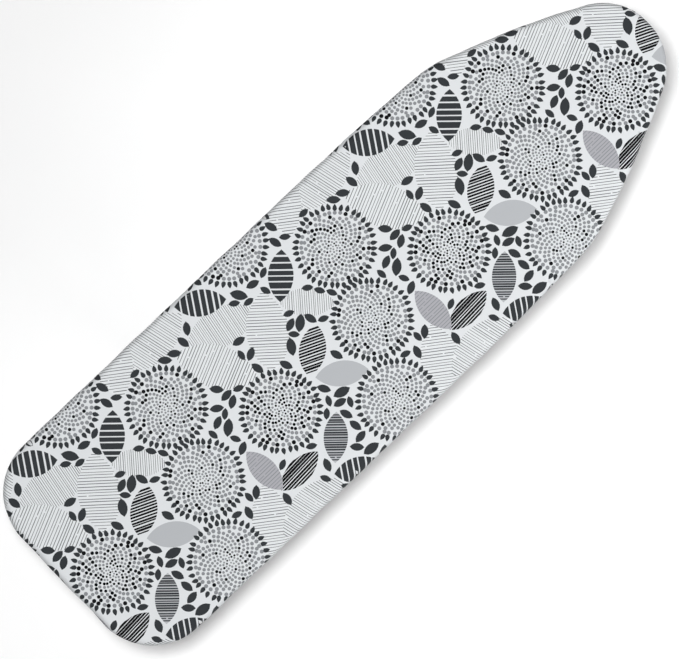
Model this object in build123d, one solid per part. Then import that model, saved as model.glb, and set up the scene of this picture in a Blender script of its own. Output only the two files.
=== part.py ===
from build123d import *

import math
import os

# Ironing board: a covered, padded steel top on a pair of folding scissor legs.
# X runs along the board with the nose towards +X, Y runs across it and Z is up from the floor.
# The origin is on the floor under the middle of the top. All sizes are in millimetres.
# A station is a distance along the board, measured from its square end.
# The board is modelled standing at full height. It folds by turning the legs up under the top.

# ---------------------------------------------------------------- driving dimensions

# Covered top, seen from above
cover_length = 1200.0
cover_width = 374.0
corner_radius = 97.0  # square end's two corners
nose_radius = 96.0
nose_half_angle = 63.0  # degrees of nose arc on each side of the tip
side_radius = 1400.0  # long flat arc from the nose back to the shoulder
shoulder_radius = 160.0  # where that arc meets the flank
flank_radius = 5000.0  # faint arc that draws the sides in towards the shoulder
flank_station = 640.0  # where the parallel sides end and the flank starts
standing_height = 880.0

# Layers of the top
cover_thickness = 1.0
cover_edge_radius = 7.0
cover_lower_radius = 3.5
cover_lip_width = 34.0  # fabric turned in under the edge
hem_width = 9.0
hem_thickness = 1.2
elastic_width = 6.0
elastic_thickness = 1.2
pad_thickness = 6.0
pad_edge_radius = 5.0
sheet_thickness = 1.2
steam_hole_radius = 4.5
steam_hole_pitch = 38.0
steam_hole_margin = 34.0  # from the sheet's outline to the nearest hole centre

# Frame under the sheet
rim_diameter = 16.0
rim_wall = 1.2
rim_joint_gap = 2.0
rim_sleeve_length = 70.0
stay_width = 36.0
stay_height = 14.0
stay_wall = 1.5
first_stay_station = 84.0
nose_stay_share = 0.47  # last stay's place between the leg pivot and the nose tip

# Slide rails
rail_thickness = 2.0
rail_offset = 45.0  # middle of the web from the board's centre line
rail_flange_width = 20.0
rail_web_above = 21.0  # slot axis up to the flange
rail_web_below = 17.0  # slot axis down to the lower edge
rail_end_margin = 16.0  # web left beyond each end of the slot
notch_count = 7
notch_pitch = 27.0
notch_depth = 6.0

# Scissor legs
leg_angle_standing = 58.0  # degrees above the floor
leg_angle_folded = 1.5
slide_folded_station = 62.0
upper_arm = 367.0  # leg pivot to crossing, the same on both legs
leg_diameter = 20.0
leg_wall = 1.2
leg_end_beyond_pivot = 12.0
outer_leg_offset = 100.0
inner_leg_offset = 72.0
brace_diameter = 16.0
brace_wall = 1.2
brace_from_foot = 168.0
plug_depth = 16.0
plug_cap_thickness = 2.0

# Feet
foot_bar_diameter = 22.0
foot_bar_wall = 1.2
foot_width = 320.0
foot_cap_radius = 15.0
foot_cap_length = 42.0
foot_cap_end_wall = 5.0
foot_cap_rounding = 3.0
foot_flat_depth = 1.0  # how far the flat under each cap is cut into its round

# Pivots and sliders
pin_radius = 4.0
bush_hub_radius = 5.5
bush_flange_radius = 8.0
bush_flange_thickness = 1.5
bracket_thickness = 2.0
bracket_length = 36.0
bracket_rivet_margin = 6.0  # rivet to the end of a bracket's base
bracket_ear_radius = 10.0
pin_head_radius = 7.0
pin_head_thickness = 3.0
pin_tail_radius = 6.0
pin_tail_thickness = 1.7
spacer_radius = 9.0
washer_radius = 8.5
washer_thickness = 1.0
hex_across_flats = 13.0
bolt_head_height = 5.3
nut_height = 6.5
bolt_end_beyond_nut = 1.2
rod_radius = 5.0
rod_beyond_leg = 3.0  # rod past the inner leg, inside its cap
rod_cap_radius = 7.0
rod_cap_end_wall = 1.5
slider_hub_radius = 8.0
slider_flange_radius = 11.0
slider_flange_thickness = 2.5

# Release lever and the keeper bar that it lowers
lever_side = -1  # the lever hangs on the right-hand side
shaft_radius = 4.0
shaft_above_pivot = 14.0
shaft_from_rail_end = 20.0
shaft_inner_ear = 27.0
shaft_outer_ear = 119.0
shaft_bracket_half_width = 8.0
shaft_bracket_lead = 12.0  # base left beyond its rivet
shaft_clip_radius = 7.0
shaft_clip_thickness = 2.0
collar_radius = 8.0
keeper_width = 30.0
keeper_thickness = 3.0
keeper_lead = 12.0  # bar left past the lowest notch
lever_offset = 135.0
lever_length = 142.0
lever_width = 14.0
lever_thickness = 3.0
lever_slope = 9.0  # degrees down towards its free end
grip_length = 92.0
grip_width = 24.0
grip_height = 13.0
grip_rounding = 5.5
grip_beyond_lever = 5.0
spring_wire_radius = 0.8
spring_mean_radius = 5.8
spring_turns = 6
spring_pitch = 1.9

# Rivets
rivet_radius = 2.5
rivet_head_radius = 4.5
rivet_head_height = 2.0
rivet_upper_head_radius = 3.5

# Clearances
running_clearance = 0.05  # radial, between a pin and the bush that turns on it
seat_clearance = 0.05  # radial, between pieces fastened together
slide_clearance = 0.3  # radial, between a slider's hub and its slot
face_clearance = 0.4  # between side faces that move past each other
cut_beyond = 1.0  # how far a cutter reaches past what it cuts

# ---------------------------------------------------------------- derived places

half_length = cover_length / 2
half_width = cover_width / 2

cover_wrap = cover_thickness + pad_thickness  # sheet's edge from the cover's outline
pad_top = standing_height - cover_thickness
sheet_top = pad_top - pad_thickness
sheet_under = sheet_top - sheet_thickness
stay_under = sheet_under - stay_height
rail_flange_under = stay_under - rail_thickness
pivot_height = rail_flange_under - rail_web_above
rim_inset = cover_wrap + rim_diameter / 2
rim_height = sheet_under - rim_diameter / 2
lip_top = sheet_under - rim_diameter - seat_clearance
lip_under = lip_top - cover_thickness

foot_axis_height = foot_cap_radius - foot_flat_depth
standing = math.radians(leg_angle_standing)
folded = math.radians(leg_angle_folded)
leg_length = (pivot_height - foot_axis_height) / math.sin(standing)
pivot_station = slide_folded_station + 2 * upper_arm * math.cos(folded)
slide_standing_station = pivot_station - 2 * upper_arm * math.cos(standing)
crossing_height = pivot_height - upper_arm * math.sin(standing)

slot_half_height = slider_hub_radius + slide_clearance
rail_start_station = slide_folded_station - slot_half_height - rail_end_margin / 2
rail_end_station = slide_standing_station + slot_half_height + rail_end_margin
shaft_station = rail_end_station + shaft_from_rail_end
shaft_height = pivot_height + shaft_above_pivot
keeper_top = pivot_height - rod_radius - face_clearance

rail_stay_station = rail_end_station - stay_width / 2
middle_stay_station = (first_stay_station + rail_stay_station) / 2
nose_stay_station = pivot_station + nose_stay_share * (cover_length - pivot_station)
stay_stations = (
    first_stay_station,
    middle_stay_station,
    rail_stay_station,
    pivot_station,
    nose_stay_station,
)
rail_rivet_stations = stay_stations[:3]
rail_rivet_offset = rail_offset + rail_thickness / 2 + rail_flange_width / 2
bracket_rivet_spacing = bracket_length - 2 * bracket_rivet_margin
shaft_bracket_length = shaft_station - rail_stay_station + bracket_ear_radius + shaft_bracket_lead


# ---------------------------------------------------------------- helpers


def at(station):
    """X of a station."""
    return station - half_length


def block(x_low, x_high, y_a, y_b, z_low, z_high):
    """Box between two corners. Its Y limits may come in either order."""
    size = (x_high - x_low, abs(y_b - y_a), z_high - z_low)
    middle = ((x_low + x_high) / 2, (y_a + y_b) / 2, (z_low + z_high) / 2)
    return Pos(*middle) * Box(*size)


def cross_rod(radius, y_a, y_b, x, z):
    """Cylinder along Y."""
    return Pos(x, (y_a + y_b) / 2, z) * Rot(90, 0, 0) * Cylinder(radius, abs(y_b - y_a))


def cross_tube(radius, bore, y_a, y_b, x, z):
    """Cylinder along Y with a through bore."""
    beyond = math.copysign(cut_beyond, y_b - y_a)
    return cross_rod(radius, y_a, y_b, x, z) - cross_rod(bore, y_a - beyond, y_b + beyond, x, z)


def upright_rod(radius, z_low, z_high, x, y):
    """Cylinder along Z."""
    return Pos(x, y, (z_low + z_high) / 2) * Cylinder(radius, z_high - z_low)


def both_sides(make):
    """One node holding the left and the right copy of a piece."""
    return Compound(children=[make(1), make(-1)])


def arc(centre, radius, start_degrees, end_degrees):
    """Arc about a centre, given by its two angles."""

    def point(degrees):
        turn = math.radians(degrees)
        return (centre[0] + radius * math.cos(turn), centre[1] + radius * math.sin(turn))

    middle_degrees = (start_degrees + end_degrees) / 2
    return ThreePointArc(point(start_degrees), point(middle_degrees), point(end_degrees))


def meeting_point(centre_a, radius_a, centre_b, radius_b):
    """Where two circles about two centres meet, on the side towards +X."""
    away = (centre_b[0] - centre_a[0], centre_b[1] - centre_a[1])
    gap = math.hypot(*away)
    towards = (away[0] / gap, away[1] / gap)
    along = (radius_a**2 - radius_b**2 + gap**2) / (2 * gap)
    aside = math.sqrt(radius_a**2 - along**2)
    return (
        centre_a[0] + towards[0] * along + towards[1] * aside,
        centre_a[1] + towards[1] * along - towards[0] * aside,
    )


def direction_degrees(start, end):
    """Angle from +X of the line from one point to another."""
    return math.degrees(math.atan2(end[1] - start[1], end[0] - start[0]))


def outline(inset):
    """Closed outline of the top, drawn in from the cover's outline by an even margin."""
    corner = (-half_length + corner_radius, half_width - corner_radius)
    nose = (half_length - nose_radius, 0.0)
    nose_turn = math.radians(nose_half_angle)
    side = (
        nose[0] + (nose_radius - side_radius) * math.cos(nose_turn),
        (nose_radius - side_radius) * math.sin(nose_turn),
    )
    flank = (at(flank_station), half_width - flank_radius)
    shoulder = meeting_point(flank, flank_radius - shoulder_radius, side, side_radius - shoulder_radius)
    flank_degrees = direction_degrees(flank, shoulder)
    shoulder_degrees = direction_degrees(side, shoulder)
    edge_y = half_width - inset
    end_x = -half_length + inset

    half = [
        Line((end_x, 0), (end_x, corner[1])),
        arc(corner, corner_radius - inset, 180, 90),
        Line((corner[0], edge_y), (flank[0], edge_y)),
        arc(flank, flank_radius - inset, 90, flank_degrees),
        arc(shoulder, shoulder_radius - inset, flank_degrees, shoulder_degrees),
        arc(side, side_radius - inset, shoulder_degrees, nose_half_angle),
        arc(nose, nose_radius - inset, nose_half_angle, 0),
    ]
    edges = [piece.edge() for piece in half]
    return Wire(edges + [edge.mirror(Plane.XZ) for edge in reversed(edges)])


def plate(inset, z_low, z_high):
    """Flat plate of the top's shape."""
    return extrude(Pos(0, 0, z_low) * Face(outline(inset)), z_high - z_low, dir=(0, 0, 1))


def ring(outer_inset, inner_inset, z_low, z_high):
    """Flat band that follows the top's outline."""
    return plate(outer_inset, z_low, z_high) - plate(inner_inset, z_low - cut_beyond, z_high + cut_beyond)


def rivet(x, y, z_low, z_high):
    """Rivet that clamps what lies between two heights, with a head on each side."""
    shank = upright_rod(rivet_radius, z_low, z_high, x, y)
    lower_head = upright_rod(rivet_head_radius, z_low - rivet_head_height, z_low, x, y)
    lower_head = chamfer(lower_head.edges().group_by(Axis.Z)[0], rivet_head_height / 2)
    upper_head = upright_rod(rivet_upper_head_radius, z_high, z_high + rivet_head_height / 2, x, y)
    return shank + lower_head + upper_head


def rivet_hole(x, y):
    """Cutter for a rivet's shank."""
    radius = rivet_radius + seat_clearance
    z_high = stay_under + stay_wall + cut_beyond
    return upright_rod(radius, rail_flange_under - cut_beyond, z_high, x, y)


def hex_head(y_a, y_b, x, z):
    """Hexagonal head or nut, its axis along Y."""
    hexagon = RegularPolygon(hex_across_flats / 2, 6, major_radius=False)
    head = extrude(hexagon, abs(y_b - y_a) / 2, both=True)
    return Pos(x, (y_a + y_b) / 2, z) * Rot(90, 0, 0) * head


# ---------------------------------------------------------------- soft goods


def cover():
    """Fitted cover: top, rounded sides and a lip turned in under the edge."""
    outside = plate(0, lip_under, standing_height)
    outside = fillet(outside.edges().group_by(Axis.Z)[-1], cover_edge_radius)
    outside = fillet(outside.edges().group_by(Axis.Z)[0], cover_lower_radius)
    inside = plate(cover_thickness, lip_top, pad_top)
    inside = fillet(inside.edges().group_by(Axis.Z)[-1], cover_edge_radius - cover_thickness)
    inside = fillet(inside.edges().group_by(Axis.Z)[0], cover_lower_radius - cover_thickness)
    opening = plate(cover_lip_width, lip_under - cut_beyond, lip_top + cut_beyond)
    return outside - inside - opening


def pad():
    """Felt pad between the cover and the steel sheet."""
    felt = plate(cover_thickness + seat_clearance, sheet_top, pad_top - seat_clearance)
    return fillet(felt.edges().group_by(Axis.Z)[-1], pad_edge_radius)


def hem_binding():
    """Bias binding along the free edge of the lip."""
    return ring(cover_lip_width - hem_width, cover_lip_width, lip_under - hem_thickness, lip_under)


def hem_elastic():
    """Elastic sewn to the upper face of the lip."""
    inner = cover_lip_width - (hem_width - elastic_width) / 2
    return ring(inner - elastic_width, inner, lip_top, lip_top + elastic_thickness)


# ---------------------------------------------------------------- steel top


def top_sheet():
    """Perforated steel ironing surface."""
    holes = []
    row_pitch = steam_hole_pitch * math.sqrt(3) / 2
    reach = plate(cover_wrap + steam_hole_margin, sheet_under, sheet_top)
    rows = int(half_width // row_pitch)
    columns = int(half_length // steam_hole_pitch)
    for row in range(-rows, rows + 1):
        shift = steam_hole_pitch / 2 if row % 2 else 0.0
        for column in range(-columns, columns + 1):
            centre = (column * steam_hole_pitch + shift, row * row_pitch)
            if reach.is_inside(Vector(*centre, (sheet_under + sheet_top) / 2)):
                holes.append(centre)
    pattern = Sketch() + [Pos(*centre) * Circle(steam_hole_radius) for centre in holes]
    sheet = Sketch() + Face(outline(cover_wrap)) - pattern
    return extrude(Pos(0, 0, sheet_under) * sheet, sheet_thickness, dir=(0, 0, 1))


def rim_path():
    """Centre line of the rim tube."""
    return Pos(0, 0, rim_height) * outline(rim_inset)


def rim_start(radius):
    """Round section of the rim tube where it crosses the middle of the square end."""
    section_plane = Plane(origin=(-half_length + rim_inset, 0, rim_height), z_dir=(0, 1, 0))
    return section_plane * Circle(radius)


def rim_tube():
    """Tube bent round under the sheet's edge, with its two ends meeting at the square end."""
    radius = rim_diameter / 2
    bar = sweep(rim_start(radius), path=rim_path(), transition=Transition.RIGHT)
    bore = sweep(rim_start(radius - rim_wall), path=rim_path(), transition=Transition.RIGHT)
    x = -half_length + rim_inset
    half_gap = rim_joint_gap / 2
    reach = radius + cut_beyond
    gap = block(x - reach, x + reach, -half_gap, half_gap, rim_height - reach, rim_height + reach)
    return bar - bore - gap


def rim_sleeve():
    """Sleeve inside the rim tube that joins its two ends."""
    radius = rim_diameter / 2 - rim_wall - seat_clearance
    half_sleeve = rim_sleeve_length / 2
    return cross_rod(radius, -half_sleeve, half_sleeve, -half_length + rim_inset, rim_height)


def stay_holes(station):
    """Rivet centres in one stay."""
    centres = []
    for side in (1, -1):
        if station in rail_rivet_stations:
            centres.append((at(station), side * rail_rivet_offset))
        if station == pivot_station:
            for end in (1, -1):
                x = at(station) + end * bracket_rivet_spacing / 2
                centres.append((x, side * outer_leg_offset))
        if station == rail_stay_station:
            centres.append((at(station), shaft_bracket_y(side)))
    return centres


def cross_stay(station):
    """Pressed channel across the board, open side up against the sheet."""
    x = at(station)
    x_low = x - stay_width / 2
    x_high = x + stay_width / 2
    reach = half_width + cut_beyond
    beyond = sheet_under + cut_beyond
    floor = stay_under + stay_wall
    channel = block(x_low, x_high, -half_width, half_width, stay_under, sheet_under)
    hollow = block(x_low + stay_wall, x_high - stay_wall, -reach, reach, floor, beyond)
    trim = plate(cover_wrap + rim_diameter + seat_clearance, stay_under - cut_beyond, beyond)
    stay = (channel - hollow) & trim
    for hole_x, hole_y in stay_holes(station):
        stay -= rivet_hole(hole_x, hole_y)
    return stay


# ---------------------------------------------------------------- slide rails


def slide_rail(side):
    """Angle rail with a notched slot that guides and holds the inner leg's rod."""
    x_low = at(rail_start_station)
    x_high = at(rail_end_station)
    inner_y = side * (rail_offset - rail_thickness / 2)
    outer_y = side * (rail_offset + rail_thickness / 2)
    flange_y = outer_y + side * rail_flange_width
    rail = block(x_low, x_high, inner_y, outer_y, pivot_height - rail_web_below, rail_flange_under)
    rail += block(x_low, x_high, inner_y, flange_y, rail_flange_under, stay_under)

    slot_y = (inner_y - side * cut_beyond, outer_y + side * cut_beyond)
    slot_low = at(slide_folded_station)
    slot_high = at(slide_standing_station)
    z_low = pivot_height - slot_half_height
    z_high = pivot_height + slot_half_height
    rail -= block(slot_low, slot_high, *slot_y, z_low, z_high)
    rail -= cross_rod(slot_half_height, *slot_y, slot_low, pivot_height)
    rail -= cross_rod(slot_half_height, *slot_y, slot_high, pivot_height)
    stations = [slide_standing_station - index * notch_pitch for index in range(notch_count)]
    for station in stations + [slide_folded_station]:
        rail -= cross_rod(slot_half_height, *slot_y, at(station), pivot_height + notch_depth)
    for station in rail_rivet_stations:
        rail -= rivet_hole(at(station), side * rail_rivet_offset)
    return rail


def rail_rivets():
    """Rivets that hold the rails to the stays."""
    rivets = []
    for side in (1, -1):
        for station in rail_rivet_stations:
            x = at(station)
            y = side * rail_rivet_offset
            rivets.append(rivet(x, y, rail_flange_under, stay_under + stay_wall))
    return Compound(children=rivets)


# ---------------------------------------------------------------- outer leg's pivots


def ear_offsets():
    """Y of the inner faces of a pivot bracket's two ears, nearer one first."""
    reach = leg_diameter / 2 + bush_flange_thickness + face_clearance
    return outer_leg_offset - reach, outer_leg_offset + reach


def pivot_bracket(side):
    """Fork under the pivot stay that holds the outer leg's upper end."""
    x = at(pivot_station)
    near, far = ear_offsets()
    near_outside = near - bracket_thickness
    far_outside = far + bracket_thickness
    base_under = stay_under - bracket_thickness
    half_bracket = bracket_length / 2
    base_y = (side * near_outside, side * far_outside)
    bracket = block(x - half_bracket, x + half_bracket, *base_y, base_under, stay_under)
    for ear_a, ear_b in ((near_outside, near), (far, far_outside)):
        ear_y = (side * ear_a, side * ear_b)
        bracket += block(x - bracket_ear_radius, x + bracket_ear_radius, *ear_y, pivot_height, base_under)
        bracket += cross_rod(bracket_ear_radius, *ear_y, x, pivot_height)
    hole_y = (side * (near_outside - cut_beyond), side * (far_outside + cut_beyond))
    bracket -= cross_rod(pin_radius + seat_clearance, *hole_y, x, pivot_height)
    for end in (1, -1):
        bracket -= rivet_hole(x + end * bracket_rivet_spacing / 2, side * outer_leg_offset)
    return bracket


def bracket_rivets():
    """Rivets that hold the pivot brackets to their stay."""
    rivets = []
    for side in (1, -1):
        for end in (1, -1):
            x = at(pivot_station) + end * bracket_rivet_spacing / 2
            y = side * outer_leg_offset
            rivets.append(rivet(x, y, stay_under - bracket_thickness, stay_under + stay_wall))
    return Compound(children=rivets)


def pivot_pin(side):
    """Headed pin through a pivot bracket and the outer leg."""
    x = at(pivot_station)
    near, far = ear_offsets()
    tail = near - bracket_thickness
    head = far + bracket_thickness
    pin = cross_rod(pin_radius, side * tail, side * head, x, pivot_height)
    pin += cross_rod(pin_head_radius, side * head, side * (head + pin_head_thickness), x, pivot_height)
    pin += cross_rod(pin_tail_radius, side * (tail - pin_tail_thickness), side * tail, x, pivot_height)
    return pin


def leg_bush(offset, side, x, z):
    """Flanged plastic bush through a leg tube. It turns on a pin or bolt."""
    inner = offset - leg_diameter / 2
    outer = offset + leg_diameter / 2
    flange = bush_flange_thickness
    bush = cross_rod(bush_hub_radius, side * inner, side * outer, x, z)
    bush += cross_rod(bush_flange_radius, side * (inner - flange), side * inner, x, z)
    bush += cross_rod(bush_flange_radius, side * outer, side * (outer + flange), x, z)
    reach = (side * (inner - flange - cut_beyond), side * (outer + flange + cut_beyond))
    return bush - cross_rod(pin_radius + running_clearance, *reach, x, z)


# ---------------------------------------------------------------- legs


def leg_frame(station, towards):
    """Place whose X runs down a leg from its upper pivot and whose Z is the board's Y."""
    down = (towards * math.cos(standing), 0, -math.sin(standing))
    return Plane(origin=(at(station), 0, pivot_height), x_dir=down, z_dir=(0, 1, 0)).location


outer_frame = leg_frame(pivot_station, -1)
inner_frame = leg_frame(slide_standing_station, 1)
crossing_x = at(pivot_station) - upper_arm * math.cos(standing)
outer_foot_x = at(pivot_station) - leg_length * math.cos(standing)
inner_foot_x = at(slide_standing_station) + leg_length * math.cos(standing)


def leg_rod(radius, start, end, across):
    """Cylinder along a leg, in the leg's own frame."""
    rod = Cylinder(radius, end - start, align=(Align.CENTER, Align.CENTER, Align.MIN))
    return Pos(start, 0, across) * Rot(0, 90, 0) * rod


def leg_cross_rod(radius, along, across_a, across_b):
    """Cylinder across a leg, in the leg's own frame."""
    return Pos(along, 0, (across_a + across_b) / 2) * Cylinder(radius, abs(across_b - across_a))


def leg_tube(offset, side, hole_radii):
    """Leg tube with its cross holes, coped to sit on the foot bar. Holes are (place, radius)."""
    radius = leg_diameter / 2
    across = side * offset
    tube = leg_rod(radius, -leg_end_beyond_pivot, leg_length, across)
    bore_start = -leg_end_beyond_pivot - cut_beyond
    tube -= leg_rod(radius - leg_wall, bore_start, leg_length + cut_beyond, across)
    tube -= leg_cross_rod(foot_bar_diameter / 2, leg_length, across - leg_diameter, across + leg_diameter)
    for along, hole_radius in hole_radii:
        tube -= leg_cross_rod(hole_radius, along, across - leg_diameter, across + leg_diameter)
    return tube


def outer_leg_tube(side):
    """Outer leg tube, with a bush at its pivot and the crossing bolt fixed through it."""
    holes = (
        (0, bush_hub_radius + seat_clearance),
        (upper_arm, pin_radius + seat_clearance),
    )
    return outer_frame * leg_tube(outer_leg_offset, side, holes)


def inner_leg_tube(side):
    """Inner leg tube, with the slider rod fixed through its end and a bush at the crossing."""
    holes = (
        (0, rod_radius + seat_clearance),
        (upper_arm, bush_hub_radius + seat_clearance),
    )
    return inner_frame * leg_tube(inner_leg_offset, side, holes)


def leg_brace(frame, offset):
    """Cross tube between a leg's two tubes, coped against both."""
    along = leg_length - brace_from_foot
    radius = brace_diameter / 2
    brace = leg_cross_rod(radius, along, -offset, offset)
    reach = offset + cut_beyond
    brace -= leg_cross_rod(radius - brace_wall, along, -reach, reach)
    for side in (1, -1):
        brace -= leg_rod(leg_diameter / 2, along - leg_diameter, along + leg_diameter, side * offset)
    return frame * brace


def leg_plug(frame, offset, side, cross_radius):
    """Plastic plug that closes the upper end of a leg tube."""
    across = side * offset
    end = -leg_end_beyond_pivot
    plug = leg_rod(leg_diameter / 2, end - plug_cap_thickness, end, across)
    plug = chamfer(plug.edges().group_by(Axis.X)[0], plug_cap_thickness / 2)
    plug += leg_rod(leg_diameter / 2 - leg_wall - seat_clearance, end, end + plug_depth, across)
    plug -= leg_cross_rod(cross_radius, 0, across - leg_diameter, across + leg_diameter)
    return frame * plug


def foot_bar(x):
    """Cross tube that carries a leg's two feet."""
    half_bar = foot_width / 2 - foot_cap_end_wall
    radius = foot_bar_diameter / 2
    return cross_tube(radius, radius - foot_bar_wall, -half_bar, half_bar, x, foot_axis_height)


def foot_cap(x, side):
    """Soft cap on the end of a foot bar, with a flat underneath that rests on the floor."""
    outer_y = side * foot_width / 2
    inner_y = outer_y - side * foot_cap_length
    cap = cross_rod(foot_cap_radius, inner_y, outer_y, x, foot_axis_height)
    cap = fillet(cap.edges().filter_by(GeomType.CIRCLE), foot_cap_rounding)
    socket_radius = foot_bar_diameter / 2 + seat_clearance
    socket_end = outer_y - side * foot_cap_end_wall
    mouth = inner_y - side * cut_beyond
    beyond = outer_y + side * cut_beyond
    cap -= cross_rod(socket_radius, mouth, socket_end, x, foot_axis_height)
    reach = foot_cap_radius + cut_beyond
    return cap - block(x - reach, x + reach, mouth, beyond, -reach, 0)


# ---------------------------------------------------------------- crossing bolts


def centre_bolt(side):
    """Bolt fixed in the outer leg. The inner leg turns on it."""
    head = outer_leg_offset + leg_diameter / 2 + washer_thickness
    end = inner_nut_faces()[1] - bolt_end_beyond_nut
    bolt = cross_rod(pin_radius, side * end, side * head, crossing_x, crossing_height)
    return bolt + hex_head(side * head, side * (head + bolt_head_height), crossing_x, crossing_height)


def inner_nut_faces():
    """Y of the faces of a crossing bolt's nut, nearer the leg first."""
    bush_face = inner_leg_offset - leg_diameter / 2 - bush_flange_thickness
    near = bush_face - face_clearance - washer_thickness
    return near, near - nut_height


def centre_nut(side):
    """Nut on the inner end of a crossing bolt."""
    near, end = inner_nut_faces()
    nut = hex_head(side * end, side * near, crossing_x, crossing_height)
    reach = (side * (end - cut_beyond), side * (near + cut_beyond))
    return nut - cross_rod(pin_radius + seat_clearance, *reach, crossing_x, crossing_height)


def centre_washers():
    """Washers under each crossing bolt's head and nut."""
    washers = []
    bore = pin_radius + seat_clearance
    outer_face = outer_leg_offset + leg_diameter / 2
    nut_face = inner_nut_faces()[0]
    for side in (1, -1):
        for start in (outer_face, nut_face):
            span = (side * start, side * (start + washer_thickness))
            washers.append(cross_tube(washer_radius, bore, *span, crossing_x, crossing_height))
    return Compound(children=washers)


def centre_spacer(side):
    """Plastic ring that keeps the inner and outer legs apart."""
    inner_face = inner_leg_offset + leg_diameter / 2 + bush_flange_thickness + face_clearance
    outer_face = outer_leg_offset - leg_diameter / 2
    bore = pin_radius + seat_clearance
    span = (side * inner_face, side * outer_face)
    return cross_tube(spacer_radius, bore, *span, crossing_x, crossing_height)


# ---------------------------------------------------------------- slider


def slider_rod():
    """Rod through the inner leg's upper ends and both rails."""
    reach = inner_leg_offset + leg_diameter / 2 + rod_beyond_leg
    return cross_rod(rod_radius, -reach, reach, at(slide_standing_station), pivot_height)


def rod_end_cap(side):
    """Push-on cap that keeps the rod in the inner leg."""
    start = inner_leg_offset + leg_diameter / 2
    inside = start + rod_beyond_leg
    x = at(slide_standing_station)
    cap = cross_rod(rod_cap_radius, side * start, side * (inside + rod_cap_end_wall), x, pivot_height)
    mouth = side * (start - cut_beyond)
    return cap - cross_rod(rod_radius + seat_clearance, mouth, side * inside, x, pivot_height)


def slider_bush(side):
    """Plastic spool on the rod. Its hub runs in the slot and its flanges run beside the web."""
    x = at(slide_standing_station)
    reach = rail_thickness / 2 + face_clearance
    inner = rail_offset - reach
    outer = rail_offset + reach
    flange = slider_flange_thickness
    spool = cross_rod(slider_hub_radius, side * inner, side * outer, x, pivot_height)
    spool += cross_rod(slider_flange_radius, side * (inner - flange), side * inner, x, pivot_height)
    spool += cross_rod(slider_flange_radius, side * outer, side * (outer + flange), x, pivot_height)
    bore_y = (side * (inner - flange - cut_beyond), side * (outer + flange + cut_beyond))
    return spool - cross_rod(rod_radius + seat_clearance, *bore_y, x, pivot_height)


# ---------------------------------------------------------------- release lever

lever_frame = Plane(
    origin=(at(shaft_station), lever_side * lever_offset, shaft_height),
    x_dir=(math.cos(math.radians(lever_slope)), 0, -math.sin(math.radians(lever_slope))),
    z_dir=(0, 1, 0),
).location


def shaft_bracket_y(side):
    """Y of the middle of a shaft bracket's ear on the given side."""
    return lever_side * shaft_outer_ear if side == lever_side else -lever_side * shaft_inner_ear


def shaft_bracket(side):
    """Angle under the last rail stay that carries one end of the lever's shaft."""
    x = at(shaft_station)
    y = shaft_bracket_y(side)
    ear_y = (y - bracket_thickness / 2, y + bracket_thickness / 2)
    base_y = (y - shaft_bracket_half_width, y + shaft_bracket_half_width)
    x_high = x + bracket_ear_radius
    x_low = x_high - shaft_bracket_length
    base_under = stay_under - bracket_thickness
    bracket = block(x_low, x_high, *base_y, base_under, stay_under)
    bracket += block(x - bracket_ear_radius, x_high, *ear_y, shaft_height, base_under)
    bracket += cross_rod(bracket_ear_radius, *ear_y, x, shaft_height)
    bore_y = (y - bracket_thickness, y + bracket_thickness)
    bracket -= cross_rod(shaft_radius + running_clearance, *bore_y, x, shaft_height)
    return bracket - rivet_hole(at(rail_stay_station), y)


def shaft_bracket_rivets():
    """Rivets that hold the shaft brackets to the last rail stay."""

    def one(side):
        low = stay_under - bracket_thickness
        return rivet(at(rail_stay_station), shaft_bracket_y(side), low, stay_under + stay_wall)

    return both_sides(one)


def lever_shaft():
    """Cross shaft that joins the lever to the keeper bar."""
    lever_end = lever_side * (lever_offset + lever_width / 2)
    inner_end = -lever_side * (shaft_inner_ear + bracket_thickness + shaft_clip_thickness)
    return cross_rod(shaft_radius, lever_end, inner_end, at(shaft_station), shaft_height)


def shaft_clips():
    """Clips that stop the shaft sliding out of its brackets."""
    x = at(shaft_station)
    bore = shaft_radius + seat_clearance
    gap = bracket_thickness / 2 + face_clearance
    inner = -lever_side * (shaft_inner_ear + gap)
    outer = lever_side * (shaft_outer_ear + gap)
    inner_end = inner - lever_side * shaft_clip_thickness
    outer_end = outer + lever_side * shaft_clip_thickness
    return Compound(
        children=[
            cross_tube(shaft_clip_radius, bore, inner, inner_end, x, shaft_height),
            cross_tube(shaft_clip_radius, bore, outer, outer_end, x, shaft_height),
        ]
    )


def keeper_arm():
    """Collar and strip that hang the keeper bar from the shaft."""
    x = at(shaft_station)
    half_keeper = keeper_width / 2
    x_low = x - collar_radius
    arm = cross_rod(collar_radius, -half_keeper, half_keeper, x, shaft_height)
    keeper_under = keeper_top - keeper_thickness
    arm += block(x_low, x_low + keeper_thickness, -half_keeper, half_keeper, keeper_under, shaft_height)
    bore = shaft_radius + seat_clearance
    reach = half_keeper + cut_beyond
    return arm - cross_rod(bore, -reach, reach, x, shaft_height)


def keeper_bar():
    """Bar under the rod that stops it dropping out of its notch."""
    lowest_notch = slide_standing_station - (notch_count - 1) * notch_pitch
    x_low = at(lowest_notch - slot_half_height - keeper_lead)
    x_high = at(shaft_station) - collar_radius
    half_keeper = keeper_width / 2
    bar = block(x_low, x_high, -half_keeper, half_keeper, keeper_top - keeper_thickness, keeper_top)
    return fillet(bar.edges().filter_by(Axis.Z).group_by(Axis.X)[0], half_keeper / 2)


def lever_strip(half_gap):
    """Lever's flat strip in the lever's own frame, grown by a gap on its four long faces."""
    thickness = lever_thickness + 2 * half_gap
    width = lever_width + 2 * half_gap
    return Pos(lever_length / 2, 0, 0) * Box(lever_length, thickness, width)


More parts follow.
